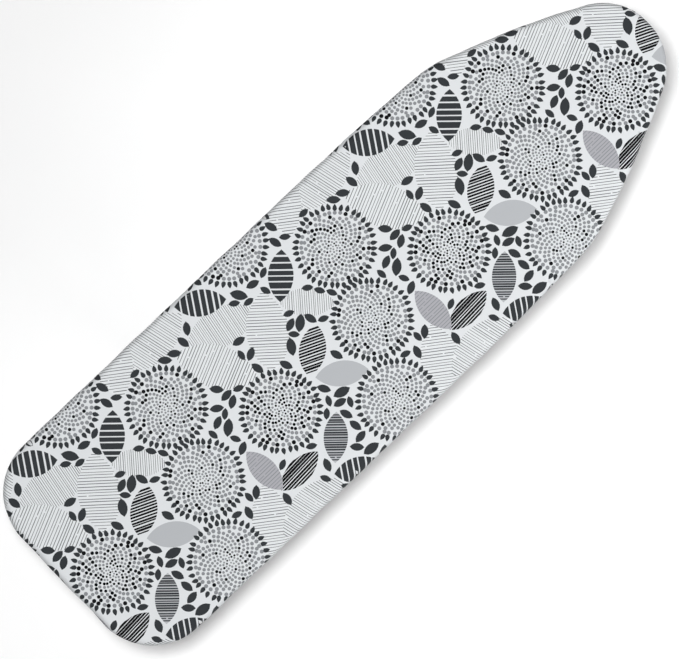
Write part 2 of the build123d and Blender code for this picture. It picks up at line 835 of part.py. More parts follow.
def release_lever():
    """Flat steel lever with a collar on the shaft."""
    x = at(shaft_station)
    inner_y = lever_side * (lever_offset - lever_width / 2)
    outer_y = lever_side * (lever_offset + lever_width / 2)
    lever = lever_frame * lever_strip(0)
    lever += cross_rod(collar_radius, inner_y, outer_y, x, shaft_height)
    bore_y = (inner_y - lever_side * cut_beyond, outer_y + lever_side * cut_beyond)
    return lever - cross_rod(shaft_radius + seat_clearance, *bore_y, x, shaft_height)


def lever_grip():
    """Moulded grip on the lever's free end."""
    end = lever_length + grip_beyond_lever
    grip = Pos(end - grip_length / 2, 0, 0) * Box(grip_length, grip_height, grip_width)
    grip = fillet(grip.edges(), grip_rounding)
    return lever_frame * (grip - lever_strip(seat_clearance))


def return_spring():
    """Torsion spring round the shaft beside its outer bracket."""
    height = spring_turns * spring_pitch
    coil = Helix(pitch=spring_pitch, height=height, radius=spring_mean_radius)
    section = Plane(origin=coil @ 0, z_dir=coil % 0) * Circle(spring_wire_radius)
    wire = sweep(section, path=coil)
    clear_of_ear = bracket_thickness / 2 + spring_wire_radius + 2 * face_clearance
    start_y = lever_side * (shaft_outer_ear - clear_of_ear)
    return Pos(at(shaft_station), start_y, shaft_height) * Rot(lever_side * 90, 0, 0) * wire


# ---------------------------------------------------------------- all nodes

side_names = {1: "left", -1: "right"}

nodes = {
    "cover": cover(),
    "hem_binding": hem_binding(),
    "hem_elastic": hem_elastic(),
    "pad": pad(),
    "top_sheet": top_sheet(),
    "rim_tube": rim_tube(),
    "rim_sleeve": rim_sleeve(),
    "rail_rivets": rail_rivets(),
    "bracket_rivets": bracket_rivets(),
    "pivot_pins": both_sides(pivot_pin),
    "pivot_bushes": both_sides(
        lambda side: leg_bush(outer_leg_offset, side, at(pivot_station), pivot_height)
    ),
    "outer_leg_brace": leg_brace(outer_frame, outer_leg_offset),
    "outer_leg_plugs": both_sides(
        lambda side: leg_plug(outer_frame, outer_leg_offset, side, bush_hub_radius + seat_clearance)
    ),
    "outer_foot_bar": foot_bar(outer_foot_x),
    "centre_bolts": both_sides(centre_bolt),
    "centre_nuts": both_sides(centre_nut),
    "centre_washers": centre_washers(),
    "centre_spacers": both_sides(centre_spacer),
    "inner_leg_brace": leg_brace(inner_frame, inner_leg_offset),
    "inner_leg_plugs": both_sides(
        lambda side: leg_plug(inner_frame, inner_leg_offset, side, rod_radius + seat_clearance)
    ),
    "inner_foot_bar": foot_bar(inner_foot_x),
    "centre_bushes": both_sides(
        lambda side: leg_bush(inner_leg_offset, side, crossing_x, crossing_height)
    ),
    "slider_rod": slider_rod(),
    "rod_end_caps": both_sides(rod_end_cap),
    "slider_bushes": both_sides(slider_bush),
    "shaft_bracket_rivets": shaft_bracket_rivets(),
    "lever_shaft": lever_shaft(),
    "shaft_clips": shaft_clips(),
    "keeper_arm": keeper_arm(),
    "keeper_bar": keeper_bar(),
    "release_lever": release_lever(),
    "lever_grip": lever_grip(),
    "return_spring": return_spring(),
}
for number, stay_station in enumerate(stay_stations, start=1):
    nodes[f"cross_stay_{number}"] = cross_stay(stay_station)
for side_sign, side_name in side_names.items():
    nodes[f"slide_rail_{side_name}"] = slide_rail(side_sign)
    nodes[f"pivot_bracket_{side_name}"] = pivot_bracket(side_sign)
    nodes[f"shaft_bracket_{side_name}"] = shaft_bracket(side_sign)
    nodes[f"outer_leg_tube_{side_name}"] = outer_leg_tube(side_sign)
    nodes[f"inner_leg_tube_{side_name}"] = inner_leg_tube(side_sign)
    nodes[f"outer_foot_cap_{side_name}"] = foot_cap(outer_foot_x, side_sign)
    nodes[f"inner_foot_cap_{side_name}"] = foot_cap(inner_foot_x, side_sign)

os.makedirs("parts", exist_ok=True)
for node_name, shape in nodes.items():
    export_step(shape, f"parts/{node_name}.step")

print("nodes", len(nodes))
print("outer leg pivot", round(at(pivot_station), 3), round(pivot_height, 3))
print("crossing", round(crossing_x, 3), round(crossing_height, 3))
print("slider rod", round(at(slide_standing_station), 3), round(pivot_height, 3))
print("lever shaft", round(at(shaft_station), 3), round(shaft_height, 3))
print("feet", round(outer_foot_x, 3), round(inner_foot_x, 3), "leg length", round(leg_length, 3))
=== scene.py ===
import math
import random

import bmesh
import bpy
import numpy as np
from mathutils import Matrix, Vector
from mathutils.geometry import delaunay_2d_cdt


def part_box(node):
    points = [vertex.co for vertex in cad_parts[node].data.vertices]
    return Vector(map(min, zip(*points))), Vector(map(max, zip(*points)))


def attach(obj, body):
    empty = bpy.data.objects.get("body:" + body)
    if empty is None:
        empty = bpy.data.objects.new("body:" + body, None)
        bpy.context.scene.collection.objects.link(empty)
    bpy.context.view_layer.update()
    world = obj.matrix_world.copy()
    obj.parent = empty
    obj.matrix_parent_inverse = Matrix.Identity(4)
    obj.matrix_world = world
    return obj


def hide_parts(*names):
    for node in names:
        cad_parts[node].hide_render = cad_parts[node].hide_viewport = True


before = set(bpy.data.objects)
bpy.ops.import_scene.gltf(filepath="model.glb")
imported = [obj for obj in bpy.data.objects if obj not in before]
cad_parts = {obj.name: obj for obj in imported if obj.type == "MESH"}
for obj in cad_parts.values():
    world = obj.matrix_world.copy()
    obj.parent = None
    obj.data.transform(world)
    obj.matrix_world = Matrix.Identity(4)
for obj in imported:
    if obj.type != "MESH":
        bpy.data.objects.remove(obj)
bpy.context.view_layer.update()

# Looks of an ironing board that stands on folding scissor legs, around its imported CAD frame.
# Blender works in metres. Shapes that belong to the board's top are drawn in millimetres, seen
# from above with X along the board, and turned into metres when their mesh is made.

MM = 0.001
SEED = 20

# ---------------- the top's outline, mm

cover_low, cover_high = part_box("cover")
HALF_LENGTH = cover_high.x / MM
HALF_WIDTH = cover_high.y / MM
TOP_Z = cover_high.z / MM
LIP_Z = cover_low.z / MM
CORNER_RADIUS = 97.0
NOSE_RADIUS = 96.0
NOSE_TURN = math.radians(63)
SIDE_RADIUS = 1400.0
SHOULDER_RADIUS = 160.0
FLANK_RADIUS = 5000.0
FLANK_STATION = 640.0

NOSE = (HALF_LENGTH - NOSE_RADIUS, 0.0)
CORNER = (-HALF_LENGTH + CORNER_RADIUS, HALF_WIDTH - CORNER_RADIUS)
SIDE = (
    NOSE[0] + (NOSE_RADIUS - SIDE_RADIUS) * math.cos(NOSE_TURN),
    (NOSE_RADIUS - SIDE_RADIUS) * math.sin(NOSE_TURN),
)
FLANK = (FLANK_STATION - HALF_LENGTH, HALF_WIDTH - FLANK_RADIUS)


def meeting_point(centre_a, radius_a, centre_b, radius_b):
    """Where two circles about two centres meet, on the side towards +X."""
    away = Vector(centre_b) - Vector(centre_a)
    gap = away.length
    towards = away / gap
    along = (radius_a**2 - radius_b**2 + gap**2) / (2 * gap)
    aside = math.sqrt(radius_a**2 - along**2)
    return (
        centre_a[0] + towards.x * along + towards.y * aside,
        centre_a[1] + towards.y * along - towards.x * aside,
    )


SHOULDER = meeting_point(FLANK, FLANK_RADIUS - SHOULDER_RADIUS, SIDE, SIDE_RADIUS - SHOULDER_RADIUS)
FLANK_TURN = math.atan2(SHOULDER[1] - FLANK[1], SHOULDER[0] - FLANK[0])
SHOULDER_TURN = math.atan2(SHOULDER[1] - SIDE[1], SHOULDER[0] - SIDE[0])

# Length along the edge from the nose tip to where each part of half the outline ends
NOSE_END = NOSE_RADIUS * NOSE_TURN
SIDE_END = NOSE_END + SIDE_RADIUS * (SHOULDER_TURN - NOSE_TURN)
SHOULDER_END = SIDE_END + SHOULDER_RADIUS * (FLANK_TURN - SHOULDER_TURN)
FLANK_END = SHOULDER_END + FLANK_RADIUS * (math.pi / 2 - FLANK_TURN)
STRAIGHT_END = FLANK_END + FLANK[0] - CORNER[0]
CORNER_END = STRAIGHT_END + CORNER_RADIUS * math.pi / 2
HALF_ROUND = CORNER_END + CORNER[1]


def edge_frame(points, inset):
    """Distance beyond the outline drawn in by inset, outward direction and length along the edge."""
    x = points[:, 0]
    y = np.abs(points[:, 1])
    beyond = np.zeros(len(points))
    outward = np.zeros((len(points), 2))
    along = np.zeros(len(points))
    free = np.ones(len(points), bool)

    def take_arc(chosen, centre, radius, turn, along_start):
        away = np.stack([x - centre[0], y - centre[1]], 1)[chosen]
        reach = np.maximum(np.hypot(away[:, 0], away[:, 1]), 1e-9)
        beyond[chosen] = reach - (radius - inset)
        outward[chosen] = away / reach[:, None]
        angle = np.arctan2(away[:, 1], away[:, 0])
        along[chosen] = along_start + radius * (angle - turn)
        free[chosen] = False

    nose = np.arctan2(y - NOSE[1], x - NOSE[0]) <= NOSE_TURN
    take_arc(nose, NOSE, NOSE_RADIUS, 0.0, 0.0)
    side = free & (np.arctan2(y - SIDE[1], x - SIDE[0]) <= SHOULDER_TURN)
    take_arc(side, SIDE, SIDE_RADIUS, NOSE_TURN, NOSE_END)
    shoulder = free & (np.arctan2(y - FLANK[1], x - FLANK[0]) <= FLANK_TURN)
    take_arc(shoulder, SHOULDER, SHOULDER_RADIUS, SHOULDER_TURN, SIDE_END)
    flank = free & (x > FLANK[0])
    take_arc(flank, FLANK, FLANK_RADIUS, FLANK_TURN, SHOULDER_END)
    straight = free & (x > CORNER[0])
    beyond[straight] = y[straight] - (HALF_WIDTH - inset)
    outward[straight] = (0, 1)
    along[straight] = FLANK_END + FLANK[0] - x[straight]
    free[straight] = False
    corner = free & (y > CORNER[1])
    take_arc(corner, CORNER, CORNER_RADIUS, math.pi / 2, STRAIGHT_END)
    beyond[free] = -x[free] - (HALF_LENGTH - inset)
    outward[free] = (-1, 0)
    along[free] = HALF_ROUND - y[free]

    mirrored = np.where(points[:, 1] < 0, -1.0, 1.0)
    outward[:, 1] *= mirrored
    return beyond, outward, along * mirrored


def between(start, end, share):
    """Point at a share of the way from one point to another."""
    return tuple(a + (b - a) * share for a, b in zip(start, end))


def point_at(centre, angle, reach):
    """Point at a distance from a centre, in the direction of an angle."""
    return (centre[0] + reach * math.cos(angle), centre[1] + reach * math.sin(angle))


def point_along(start, direction, reach):
    """Point at a distance from a start, along a direction."""
    return (start[0] + direction[0] * reach, start[1] + direction[1] * reach)


def edge_loop(inset, spacing):
    """Points round the whole outline drawn in by inset, about spacing apart."""
    loop = []

    def add_arc(centre, radius, start, end):
        steps = max(2, round(abs(end - start) * radius / spacing))
        for step in range(steps):
            loop.append(point_at(centre, start + (end - start) * step / steps, radius))

    def add_line(start, end):
        steps = max(2, round(math.dist(start, end) / spacing))
        for step in range(steps):
            loop.append(between(start, end, step / steps))

    add_arc(NOSE, NOSE_RADIUS - inset, 0, NOSE_TURN)
    add_arc(SIDE, SIDE_RADIUS - inset, NOSE_TURN, SHOULDER_TURN)
    add_arc(SHOULDER, SHOULDER_RADIUS - inset, SHOULDER_TURN, FLANK_TURN)
    add_arc(FLANK, FLANK_RADIUS - inset, FLANK_TURN, math.pi / 2)
    add_line((FLANK[0], HALF_WIDTH - inset), (CORNER[0], HALF_WIDTH - inset))
    add_arc(CORNER, CORNER_RADIUS - inset, math.pi / 2, math.pi)
    add_line((-HALF_LENGTH + inset, CORNER[1]), (-HALF_LENGTH + inset, 0))
    lower = [(x, -y) for x, y in reversed(loop[1:])]
    return loop + [(-HALF_LENGTH + inset, 0.0)] + lower


# ---------------- mesh helpers

TOUCHING = 1e-6
EVERYWHERE = 0  # which triangles a triangulation keeps
INSIDE_ONLY = 1


def new_piece(name, vertices, faces):
    """Mesh object from vertices in millimetres."""
    mesh = bpy.data.meshes.new(name)
    mesh.from_pydata((np.asarray(vertices, float) * MM).tolist(), [], faces)
    mesh.polygons.foreach_set("use_smooth", [True] * len(mesh.polygons))
    mesh.update()
    piece = bpy.data.objects.new(name, mesh)
    bpy.context.scene.collection.objects.link(piece)
    return piece


def face_outward(piece):
    """Turns every face of a closed mesh outward."""
    work = bmesh.new()
    work.from_mesh(piece.data)
    bmesh.ops.recalc_face_normals(work, faces=work.faces)
    work.to_mesh(piece.data)
    work.free()


def bridge(lower, upper):
    """Faces between two closed rings of vertices."""
    faces = []
    for number in range(len(lower)):
        after = (number + 1) % len(lower)
        faces.append([lower[number], lower[after], upper[after], upper[number]])
    return faces


def triangulated(points, edges, faces, kept):
    """Places and triangles, with the points and the faces that each of them comes from."""
    vertices = [Vector(point) for point in points]
    made = delaunay_2d_cdt(vertices, edges, faces, kept, TOUCHING, True)
    places, _, triangles, point_sources, _, face_sources = made
    return np.array([tuple(place) for place in places]), triangles, point_sources, face_sources


def waves(along, waves_round, rng):
    """Sum of sine waves that run round the edge and join up, from about -1 to 1."""
    total = np.zeros(len(along))
    for count in waves_round:
        phase = rng.uniform(0, 2 * math.pi)
        total += np.sin(math.pi * count * along / HALF_ROUND + phase)
    return total / len(waves_round)


def ripples(points, wavelengths, rng):
    """Gentle swells across a flat sheet, from about -1 to 1."""
    total = np.zeros(len(points))
    for wavelength in wavelengths:
        heading = rng.uniform(0, math.pi)
        phase = rng.uniform(0, 2 * math.pi)
        along = points[:, 0] * math.cos(heading) + points[:, 1] * math.sin(heading)
        total += np.sin(2 * math.pi * along / wavelength + phase)
    return total / len(wavelengths)


def raised(wave):
    """Wave that ran from -1 to 1, made to run from 0 to 1."""
    return 0.5 + 0.5 * wave


def smooth_step(value, low, high):
    """From 0 at low to 1 at high."""
    share = np.clip((value - low) / (high - low), 0, 1)
    return share * share * (3 - 2 * share)


def wander(rng, most):
    """Random amount, up to most either way."""
    return rng.uniform(-most, most)


# ---------------- printed pattern, mm

REPEAT_LENGTH = 344.0
REPEAT_WIDTH = 450.0
PRINT_SHIFT = (-7.0, -2.0)  # from the middle of the top to the first repeat's own zero
GROUND, PALE, DOT_GREY, LEAF_GREY, LILAC, CHARCOAL, BLACK, HATCH = range(8)

# Centre of each flower head in one repeat, and its share of black dots
HEADS = [((40, 83), 0.18), ((5, -33), 0.19), ((158, -38), 0.4), ((-50, -145), 0.1), ((-75, 195), 0.16)]
GOLDEN_TURN = math.pi * (3 - math.sqrt(5))
FIRST_DOT_REACH = 1.5
SPIRAL_EDGE = 45.5
RIM_DOT_RING = 50.0
RIM_WANDER = 0.12  # of the step from one rim dot to the next
INNER_DOT_RADIUS = 1.4
OUTER_DOT_RADIUS = 3.15
BLACK_DOT_GROWTH = 1.06
DOT_GROWTH = (0.92, 1.05)
DOT_WANDER = 0.5
DOT_CORNERS = 8
SMALL_DOT_CORNERS = 6
SMALL_DOT_RADIUS = 1.8
INNER_DOT_SPACING = 4.3
OUTER_DOT_SPACING = 7.7
DOT_PACKING = 0.87  # area of a dot's own cell, as a share of its spacing squared
PETAL_RING = 58.5
PETAL_COUNT = 39
PETAL_LENGTH = 10.6
PETAL_WIDTH = 7.1
PETAL_FULLNESS = 1.2
PETAL_POINT = 0.8  # how sharply a petal narrows to its point
PETAL_CORNERS = 10
PETAL_WANDER = 1.0
PETAL_TWIST = 14.0  # degrees

# Large leaves in one repeat: (u, v), length, width, angle, and how the leaf is filled
LARGE_LEAVES = [
    ((180, 113), 112, 58, -15, "fine pale"),
    ((135, 75), 128, 64, -60, "wide pale"),
    ((225, 60), 120, 64, 55, "wide pale"),
    ((-47, 52), 85, 42, -45, "fine pale"),
    ((35, -150), 120, 60, 60, "wide pale"),
    ((90, 168), 122, 62, 0, "dashed pale"),
    ((95, -174), 122, 62, 0, "dashed pale"),
    ((30, 190), 120, 60, 60, "wide pale"),
    ((183, -182), 78, 40, -35, "striped"),
    ((-48, 107), 78, 38, 45, "striped"),
    ((182, 160), 78, 40, -35, "striped"),
    ((-90, -5), 78, 40, 38, "dark lines"),
    ((117, -121), 80, 36, 3, "long lines"),
    ((190, -122), 76, 36, 45, "grey lines"),
    ((-82, -60), 80, 38, -35, "grey"),
    ((80, -85), 78, 36, 90, "lilac"),
]

# Fill of a large leaf: base ink, line ink, line angle from the leaf's own, pitch, line width and
# share of broken lines
LEAF_FILLS = {
    "fine pale": (PALE, HATCH, 95, 3.2, 0.95, 0.0),
    "wide pale": (PALE, HATCH, 84, 4.4, 1.2, 0.1),
    "dashed pale": (PALE, HATCH, -76, 3.8, 1.1, 0.15),
    "striped": (CHARCOAL, GROUND, 92, 9.6, 2.6, 0.0),
    "dark lines": (GROUND, BLACK, -62, 4.2, 3.2, 0.1),
    "long lines": (GROUND, BLACK, 0, 4.0, 3.3, 0.1),
    "grey lines": (LEAF_GREY, CHARCOAL, -88, 3.7, 2.5, 0.15),
    "grey": (LEAF_GREY, LEAF_GREY, 0, 0, 0, 0.0),
    "lilac": (LILAC, DOT_GREY, 90, 4.4, 1.2, 0.4),
}
LARGE_LEAF_STEPS = 14
LINE_GROWTH = (0.65, 1.1)
LINE_WANDER = 0.12  # of the pitch
SHORTEST_LINE = 4.0
SHORTEST_DASH = 3.0
BREAK_BEFORE = 1.0
BREAK_AFTER = 1.5

# Small leaves are scattered into the gaps, the longer ones first: length, width, most of them, tries
SMALL_LEAVES = [(28, 14.5, 14, 800), (22, 11.5, 44, 4000), (18, 9.5, 90, 9000)]
SMALL_LEAF_STEPS = 6
LEAF_GAP = 1.4
HEAD_GAP = 4.5
PALE_OVERLAP = 6.0  # how far a small leaf may reach into a pale one
# Spots along a small leaf where its room is tested: share of its length, half width as a share
LEAF_SPOTS = [(-0.45, 0.06), (-0.22, 0.3), (0, 0.45), (0.22, 0.3), (0.45, 0.06)]


def leaf_arc(length, width):
    """Radius of a leaf's two sides, and how far each side's centre is from its middle line."""
    radius = (length * length + width * width) / (4 * width)
    return radius, radius - width / 2


def turned(point, centre, degrees):
    """Point in a shape's own frame, turned and moved to the shape's place."""
    cosine = math.cos(math.radians(degrees))
    sine = math.sin(math.radians(degrees))
    return (
        centre[0] + point[0] * cosine - point[1] * sine,
        centre[1] + point[0] * sine + point[1] * cosine,
    )


def leaf_loop(centre, length, width, degrees, steps):
    """Pointed oval as a closed loop of points."""
    radius, offset = leaf_arc(length, width)
    upper = []
    for step in range(steps + 1):
        across = -length / 2 + length * step / steps
        upper.append((across, max(math.sqrt(radius * radius - across * across) - offset, 0)))
    lower = [(across, -height) for across, height in upper]
    return [turned(point, centre, degrees) for point in lower + upper[-2:0:-1]]


def leaf_distance(point, centre, length, width, degrees):
    """How far a point is outside a leaf, or a negative number inside it."""
    radius, offset = leaf_arc(length, width)
    gaps = []
    for side in (-1, 1):
        arc_centre = turned((0, side * offset), centre, degrees)
        gaps.append(math.dist(point, arc_centre) - radius)
    return max(gaps)


def chord(start, direction, length, width, centre, degrees):
    """Where a line crosses a leaf, as two distances along the line, or None."""
    radius, offset = leaf_arc(length, width)
    low = -math.inf
    high = math.inf
    for side in (-1, 1):
        arc_centre = turned((0, side * offset), centre, degrees)
        to_centre = (arc_centre[0] - start[0], arc_centre[1] - start[1])
        middle = to_centre[0] * direction[0] + to_centre[1] * direction[1]
        away = to_centre[0] * direction[1] - to_centre[1] * direction[0]
        if abs(away) >= radius:
            return None
        reach = math.sqrt(radius * radius - away * away)
        low = max(low, middle - reach)
        high = min(high, middle + reach)
    return (low, high) if high - low > SHORTEST_LINE else None


def leaf_lines(leaf, rng):
    """Lines drawn across a large leaf, each a thin quadrilateral that ends on the leaf's edge."""
    centre, length, width, degrees, fill = leaf
    _, line_ink, line_angle, pitch, thickness, dashed = LEAF_FILLS[fill]
    if not pitch:
        return []
    heading = math.radians(degrees + line_angle)
    direction = (math.cos(heading), math.sin(heading))
    across = (-direction[1], direction[0])
    count = int(length / pitch / 2) + 1
    lines = []
    for number in range(-count, count + 1):
        shift = (number + wander(rng, LINE_WANDER)) * pitch
        half = thickness / 2 * rng.uniform(*LINE_GROWTH)
        starts = [point_along(centre, across, place) for place in (shift - half, shift + half)]
        sides = [chord(start, direction, length, width, centre, degrees) for start in starts]
        if not (sides[0] and sides[1]):
            continue
        spans = [sides]
        if rng.random() < dashed:
            cut = rng.uniform(*sides[0])
            before = [(low, cut - BREAK_BEFORE) for low, _ in sides]
            after = [(cut + BREAK_AFTER, high) for _, high in sides]
            spans = [before, after]
        for (low_a, high_a), (low_b, high_b) in spans:
            if min(high_a - low_a, high_b - low_b) < SHORTEST_DASH:
                continue
            ends = ((starts[0], low_a), (starts[0], high_a), (starts[1], high_b), (starts[1], low_b))
            loop = [point_along(start, direction, reach) for start, reach in ends]
            lines.append((line_ink, loop))
    return lines


def dot(place, size, black_share, rng):
    """Round dot drawn as a small polygon, turned at random."""
    corners = SMALL_DOT_CORNERS if size < SMALL_DOT_RADIUS else DOT_CORNERS
    turn = rng.uniform(0, math.pi)
    ink = BLACK if rng.random() < black_share else DOT_GREY
    radius = size * (BLACK_DOT_GROWTH if ink == BLACK else 1)
    headings = [turn + 2 * math.pi * corner / corners for corner in range(corners)]
    return ink, [point_at(place, heading, radius) for heading in headings]


def petal_loop(centre, degrees):
    """Drop shape, round towards the head and pointed outward."""
    loop = []
    for corner in range(PETAL_CORNERS):
        turn = 2 * math.pi * corner / PETAL_CORNERS
        narrowing = abs(math.sin(turn / 2)) ** PETAL_POINT
        height = PETAL_WIDTH / 2 * math.sin(turn) * PETAL_FULLNESS * narrowing
        loop.append(turned((PETAL_LENGTH / 2 * math.cos(turn), height), centre, degrees))
    return loop


def flower_head(centre, black_share, rng):
    """Spiral of dots that grow outward, inside a ring of dots and small petals."""
    shapes = []
    reach = FIRST_DOT_REACH
    angle = rng.uniform(0, 2 * math.pi)
    while reach < SPIRAL_EDGE:
        share = reach / RIM_DOT_RING
        size = INNER_DOT_RADIUS + (OUTER_DOT_RADIUS - INNER_DOT_RADIUS) * share
        spacing = INNER_DOT_SPACING + (OUTER_DOT_SPACING - INNER_DOT_SPACING) * share
        spot = (reach + wander(rng, DOT_WANDER), wander(rng, DOT_WANDER))
        place = turned(spot, centre, math.degrees(angle))
        shapes.append(dot(place, size * rng.uniform(*DOT_GROWTH), black_share, rng))
        reach = math.sqrt(reach * reach + DOT_PACKING * spacing * spacing / math.pi)
        angle += GOLDEN_TURN
    for number in range(PETAL_COUNT):
        degrees = 360 * (number + wander(rng, RIM_WANDER)) / PETAL_COUNT
        place = turned((RIM_DOT_RING + wander(rng, DOT_WANDER), 0), centre, degrees)
        shapes.append(dot(place, OUTER_DOT_RADIUS, black_share, rng))
        middle = turned((PETAL_RING + wander(rng, PETAL_WANDER), 0), centre, degrees)
        shapes.append((CHARCOAL, petal_loop(middle, degrees + wander(rng, PETAL_TWIST))))
    return shapes


def wrapped(offset):
    """Shortest offset between two places on the repeating pattern."""
    return (
        offset[0] - REPEAT_LENGTH * round(offset[0] / REPEAT_LENGTH),
        offset[1] - REPEAT_WIDTH * round(offset[1] / REPEAT_WIDTH),
    )


def scattered_leaves(rng):
    """Small leaves placed at random where they keep clear of everything else."""
    placed = []
    for length, width, most, tries in SMALL_LEAVES:
        wanted = len(placed) + most
        for _ in range(tries):
            centre = (rng.uniform(0, REPEAT_LENGTH), rng.uniform(0, REPEAT_WIDTH))
            degrees = rng.uniform(0, 180)
            if len(placed) < wanted and leaf_fits(centre, length, width, degrees, placed):
                placed.append((centre, length, width, degrees))
    return placed


def leaf_fits(centre, length, width, degrees, placed):
    """True if a small leaf keeps clear of the heads, the large leaves and the small ones so far."""
    neighbours = [(leaf, LEAF_GAP) for leaf in placed]
    for *leaf, fill in LARGE_LEAVES:
        neighbours.append((leaf, LEAF_GAP - PALE_OVERLAP if "pale" in fill else LEAF_GAP))
    for share, room in LEAF_SPOTS:
        spot = turned((share * length, 0), centre, degrees)
        for head, _ in HEADS:
            away = wrapped((spot[0] - head[0], spot[1] - head[1]))
            if math.hypot(*away) < PETAL_RING + HEAD_GAP + room * width:
                return False
        for (other, other_length, other_width, other_degrees), gap in neighbours:
            away = wrapped((spot[0] - other[0], spot[1] - other[1]))
            reach = gap + room * width
            if math.hypot(*away) < other_length / 2 + reach:
                if leaf_distance(away, (0, 0), other_length, other_width, other_degrees) < reach:
                    return False
    return True


def print_shapes():
    """Every shape of one repeat in printing order, as (ink, loop)."""
    rng = random.Random(SEED)
    shapes = []
    for leaf in LARGE_LEAVES:
        centre, length, width, degrees, fill = leaf
        shapes.append((LEAF_FILLS[fill][0], leaf_loop(centre, length, width, degrees, LARGE_LEAF_STEPS)))
        shapes += leaf_lines(leaf, rng)
    for centre, length, width, degrees in scattered_leaves(rng):
        shapes.append((CHARCOAL, leaf_loop(centre, length, width, degrees, SMALL_LEAF_STEPS)))
    for centre, black_share in HEADS:
        shapes += flower_head(centre, black_share, rng)
    return shapes


# ---------------- cover cloth, mm

EDGE_RADIUS = 10.0
LOWER_RADIUS = 4.0
LIP_WIDTH = 30.0
CLOTH_THICKNESS = 0.6
ARC_LENGTH = EDGE_RADIUS * math.pi / 2
WALL_LENGTH = TOP_Z - LIP_Z - EDGE_RADIUS - LOWER_RADIUS
WALL_END = ARC_LENGTH + WALL_LENGTH
LOWER_END = WALL_END + LOWER_RADIUS * math.pi / 2
CLOTH_END = LOWER_END + LIP_WIDTH
CLOTH_MARGIN = CLOTH_END - EDGE_RADIUS  # how far the flat cloth reaches beyond the outline

# The flat cloth's mesh: a grid on the flat top, and rings that follow the edge
CLOTH_GRID = 13.0
GRID_SHIFT = (0.17, 0.31)
FLAT_LIMIT = -21.0
RING_SPACING = 6.0
WALL_SPACING_SHARE = 0.72
CLOTH_RINGS = [-17, -12, -8, -4, -1, 2, 4.5, 7, 9.5, 12, 14.5]
CLOTH_RINGS += [ARC_LENGTH + 1.5, WALL_END - 1, WALL_END + 2, LOWER_END - 1.5]
CLOTH_RINGS += [LOWER_END + reach for reach in (2, 6, 11, 17, 24)]
BORDER_SPACING = 4.0
LINING_GRID = 30.0
LINING_SPACING = 9.0
LINING_RINGS = [-12, -4, 2, 7, 12, ARC_LENGTH + 1.5, WALL_END - 1]
LINING_RINGS += [LOWER_END - 1.5, LOWER_END + 6, LOWER_END + 17]
LONG_EDGE = 14.0
BEND_EDGE = 3.6
BEND_START = -8.0
PRINT_MARGIN = 130.0
SHORT_OF_EDGE = 0.5

# The cloth is meshed in slabs across the board, which are then joined
SLAB_WIDTH = 80.0
SLAB_START = -HALF_LENGTH - CLOTH_MARGIN - 1
SLAB_OVERHANG = 20.0
SLAB_BORDER = 8.0
SLAB_CLEAR = 0.5
WELD = 0.003

# Loose cloth: waves round the edge, and how far each kind pushes the cloth
EDGE_WAVES = (19, 31, 46)
EDGE_WAVE_START = -14.0
EDGE_WAVE_PUSH = 1.3
SQUARE_END_PUSH = 1.2
EDGE_DRAWN_IN = 0.8
PLEAT_WAVES = (168, 203, 247)
PLEAT_PUSH = 0.15
CURVED_PLEAT_PUSH = 0.5
PLEAT_DROP = 0.5
CURVED_PLEAT_DROP = 1.1
PLEAT_START = ARC_LENGTH * 0.6
PLEAT_FULL = LOWER_END + 12
PLEAT_PUSH_END = 6.0  # along the lip
PLEAT_DROP_RANGE = (2.0, 12.0)
CURVE_FADE = 60.0
CORNER_FADE = (70.0, 130.0)
SWELL_LENGTHS = (210, 150, 118, 83)
SWELL_DEPTH = 0.5
TENSION_WAVES = (58, 74, 97)
TENSION_DEPTH = 0.6
TENSION_STATION = -12.0
TENSION_SPREAD = 16.0
TOP_FADE = -6.0


def curve_share(along):
    """From 0 on the straight edges to 1 round the nose and the square end's corners."""
    at_nose = np.maximum(1 - smooth_step(np.abs(along), NOSE_END, NOSE_END + CURVE_FADE), 0)
    from_corner = np.abs(np.abs(along) - (STRAIGHT_END + CORNER_END) / 2)
    return np.maximum(at_nose, 1 - smooth_step(from_corner, *CORNER_FADE))


def loosen_cloth(points, beyond, along, out, down):
    """Adds swells on top, a wavy edge, and pleats where the elastic draws the cloth in."""
    rng = random.Random(SEED)
    lip = np.maximum(beyond - LOWER_END, 0)

    square_end = smooth_step(np.abs(along), CORNER_END - CURVE_FADE, HALF_ROUND)
    edge_wave = raised(waves(along, EDGE_WAVES, rng))
    edge_share = smooth_step(beyond, EDGE_WAVE_START, ARC_LENGTH)
    edge_share *= 1 - smooth_step(beyond, WALL_END, CLOTH_END)
    out += (edge_wave * (EDGE_WAVE_PUSH + SQUARE_END_PUSH * square_end) - EDGE_DRAWN_IN) * edge_share

    pleats = waves(along, PLEAT_WAVES, rng)
    curved = curve_share(along)
    gathered = smooth_step(beyond, PLEAT_START, PLEAT_FULL)
    push = pleats * (PLEAT_PUSH + CURVED_PLEAT_PUSH * curved)
    out += push * gathered * (1 - smooth_step(lip, 0, PLEAT_PUSH_END))
    drop = raised(pleats) * (PLEAT_DROP + CURVED_PLEAT_DROP * curved)
    down += drop * smooth_step(lip, *PLEAT_DROP_RANGE)

    swells = raised(ripples(points, SWELL_LENGTHS, rng))
    tension = waves(along, TENSION_WAVES, rng)
    tension *= np.exp(-((beyond - TENSION_STATION) / TENSION_SPREAD) ** 2)
    on_top = 1 - smooth_step(beyond, TOP_FADE, EDGE_RADIUS)
    down += swells * SWELL_DEPTH * on_top + raised(tension) * TENSION_DEPTH * on_top


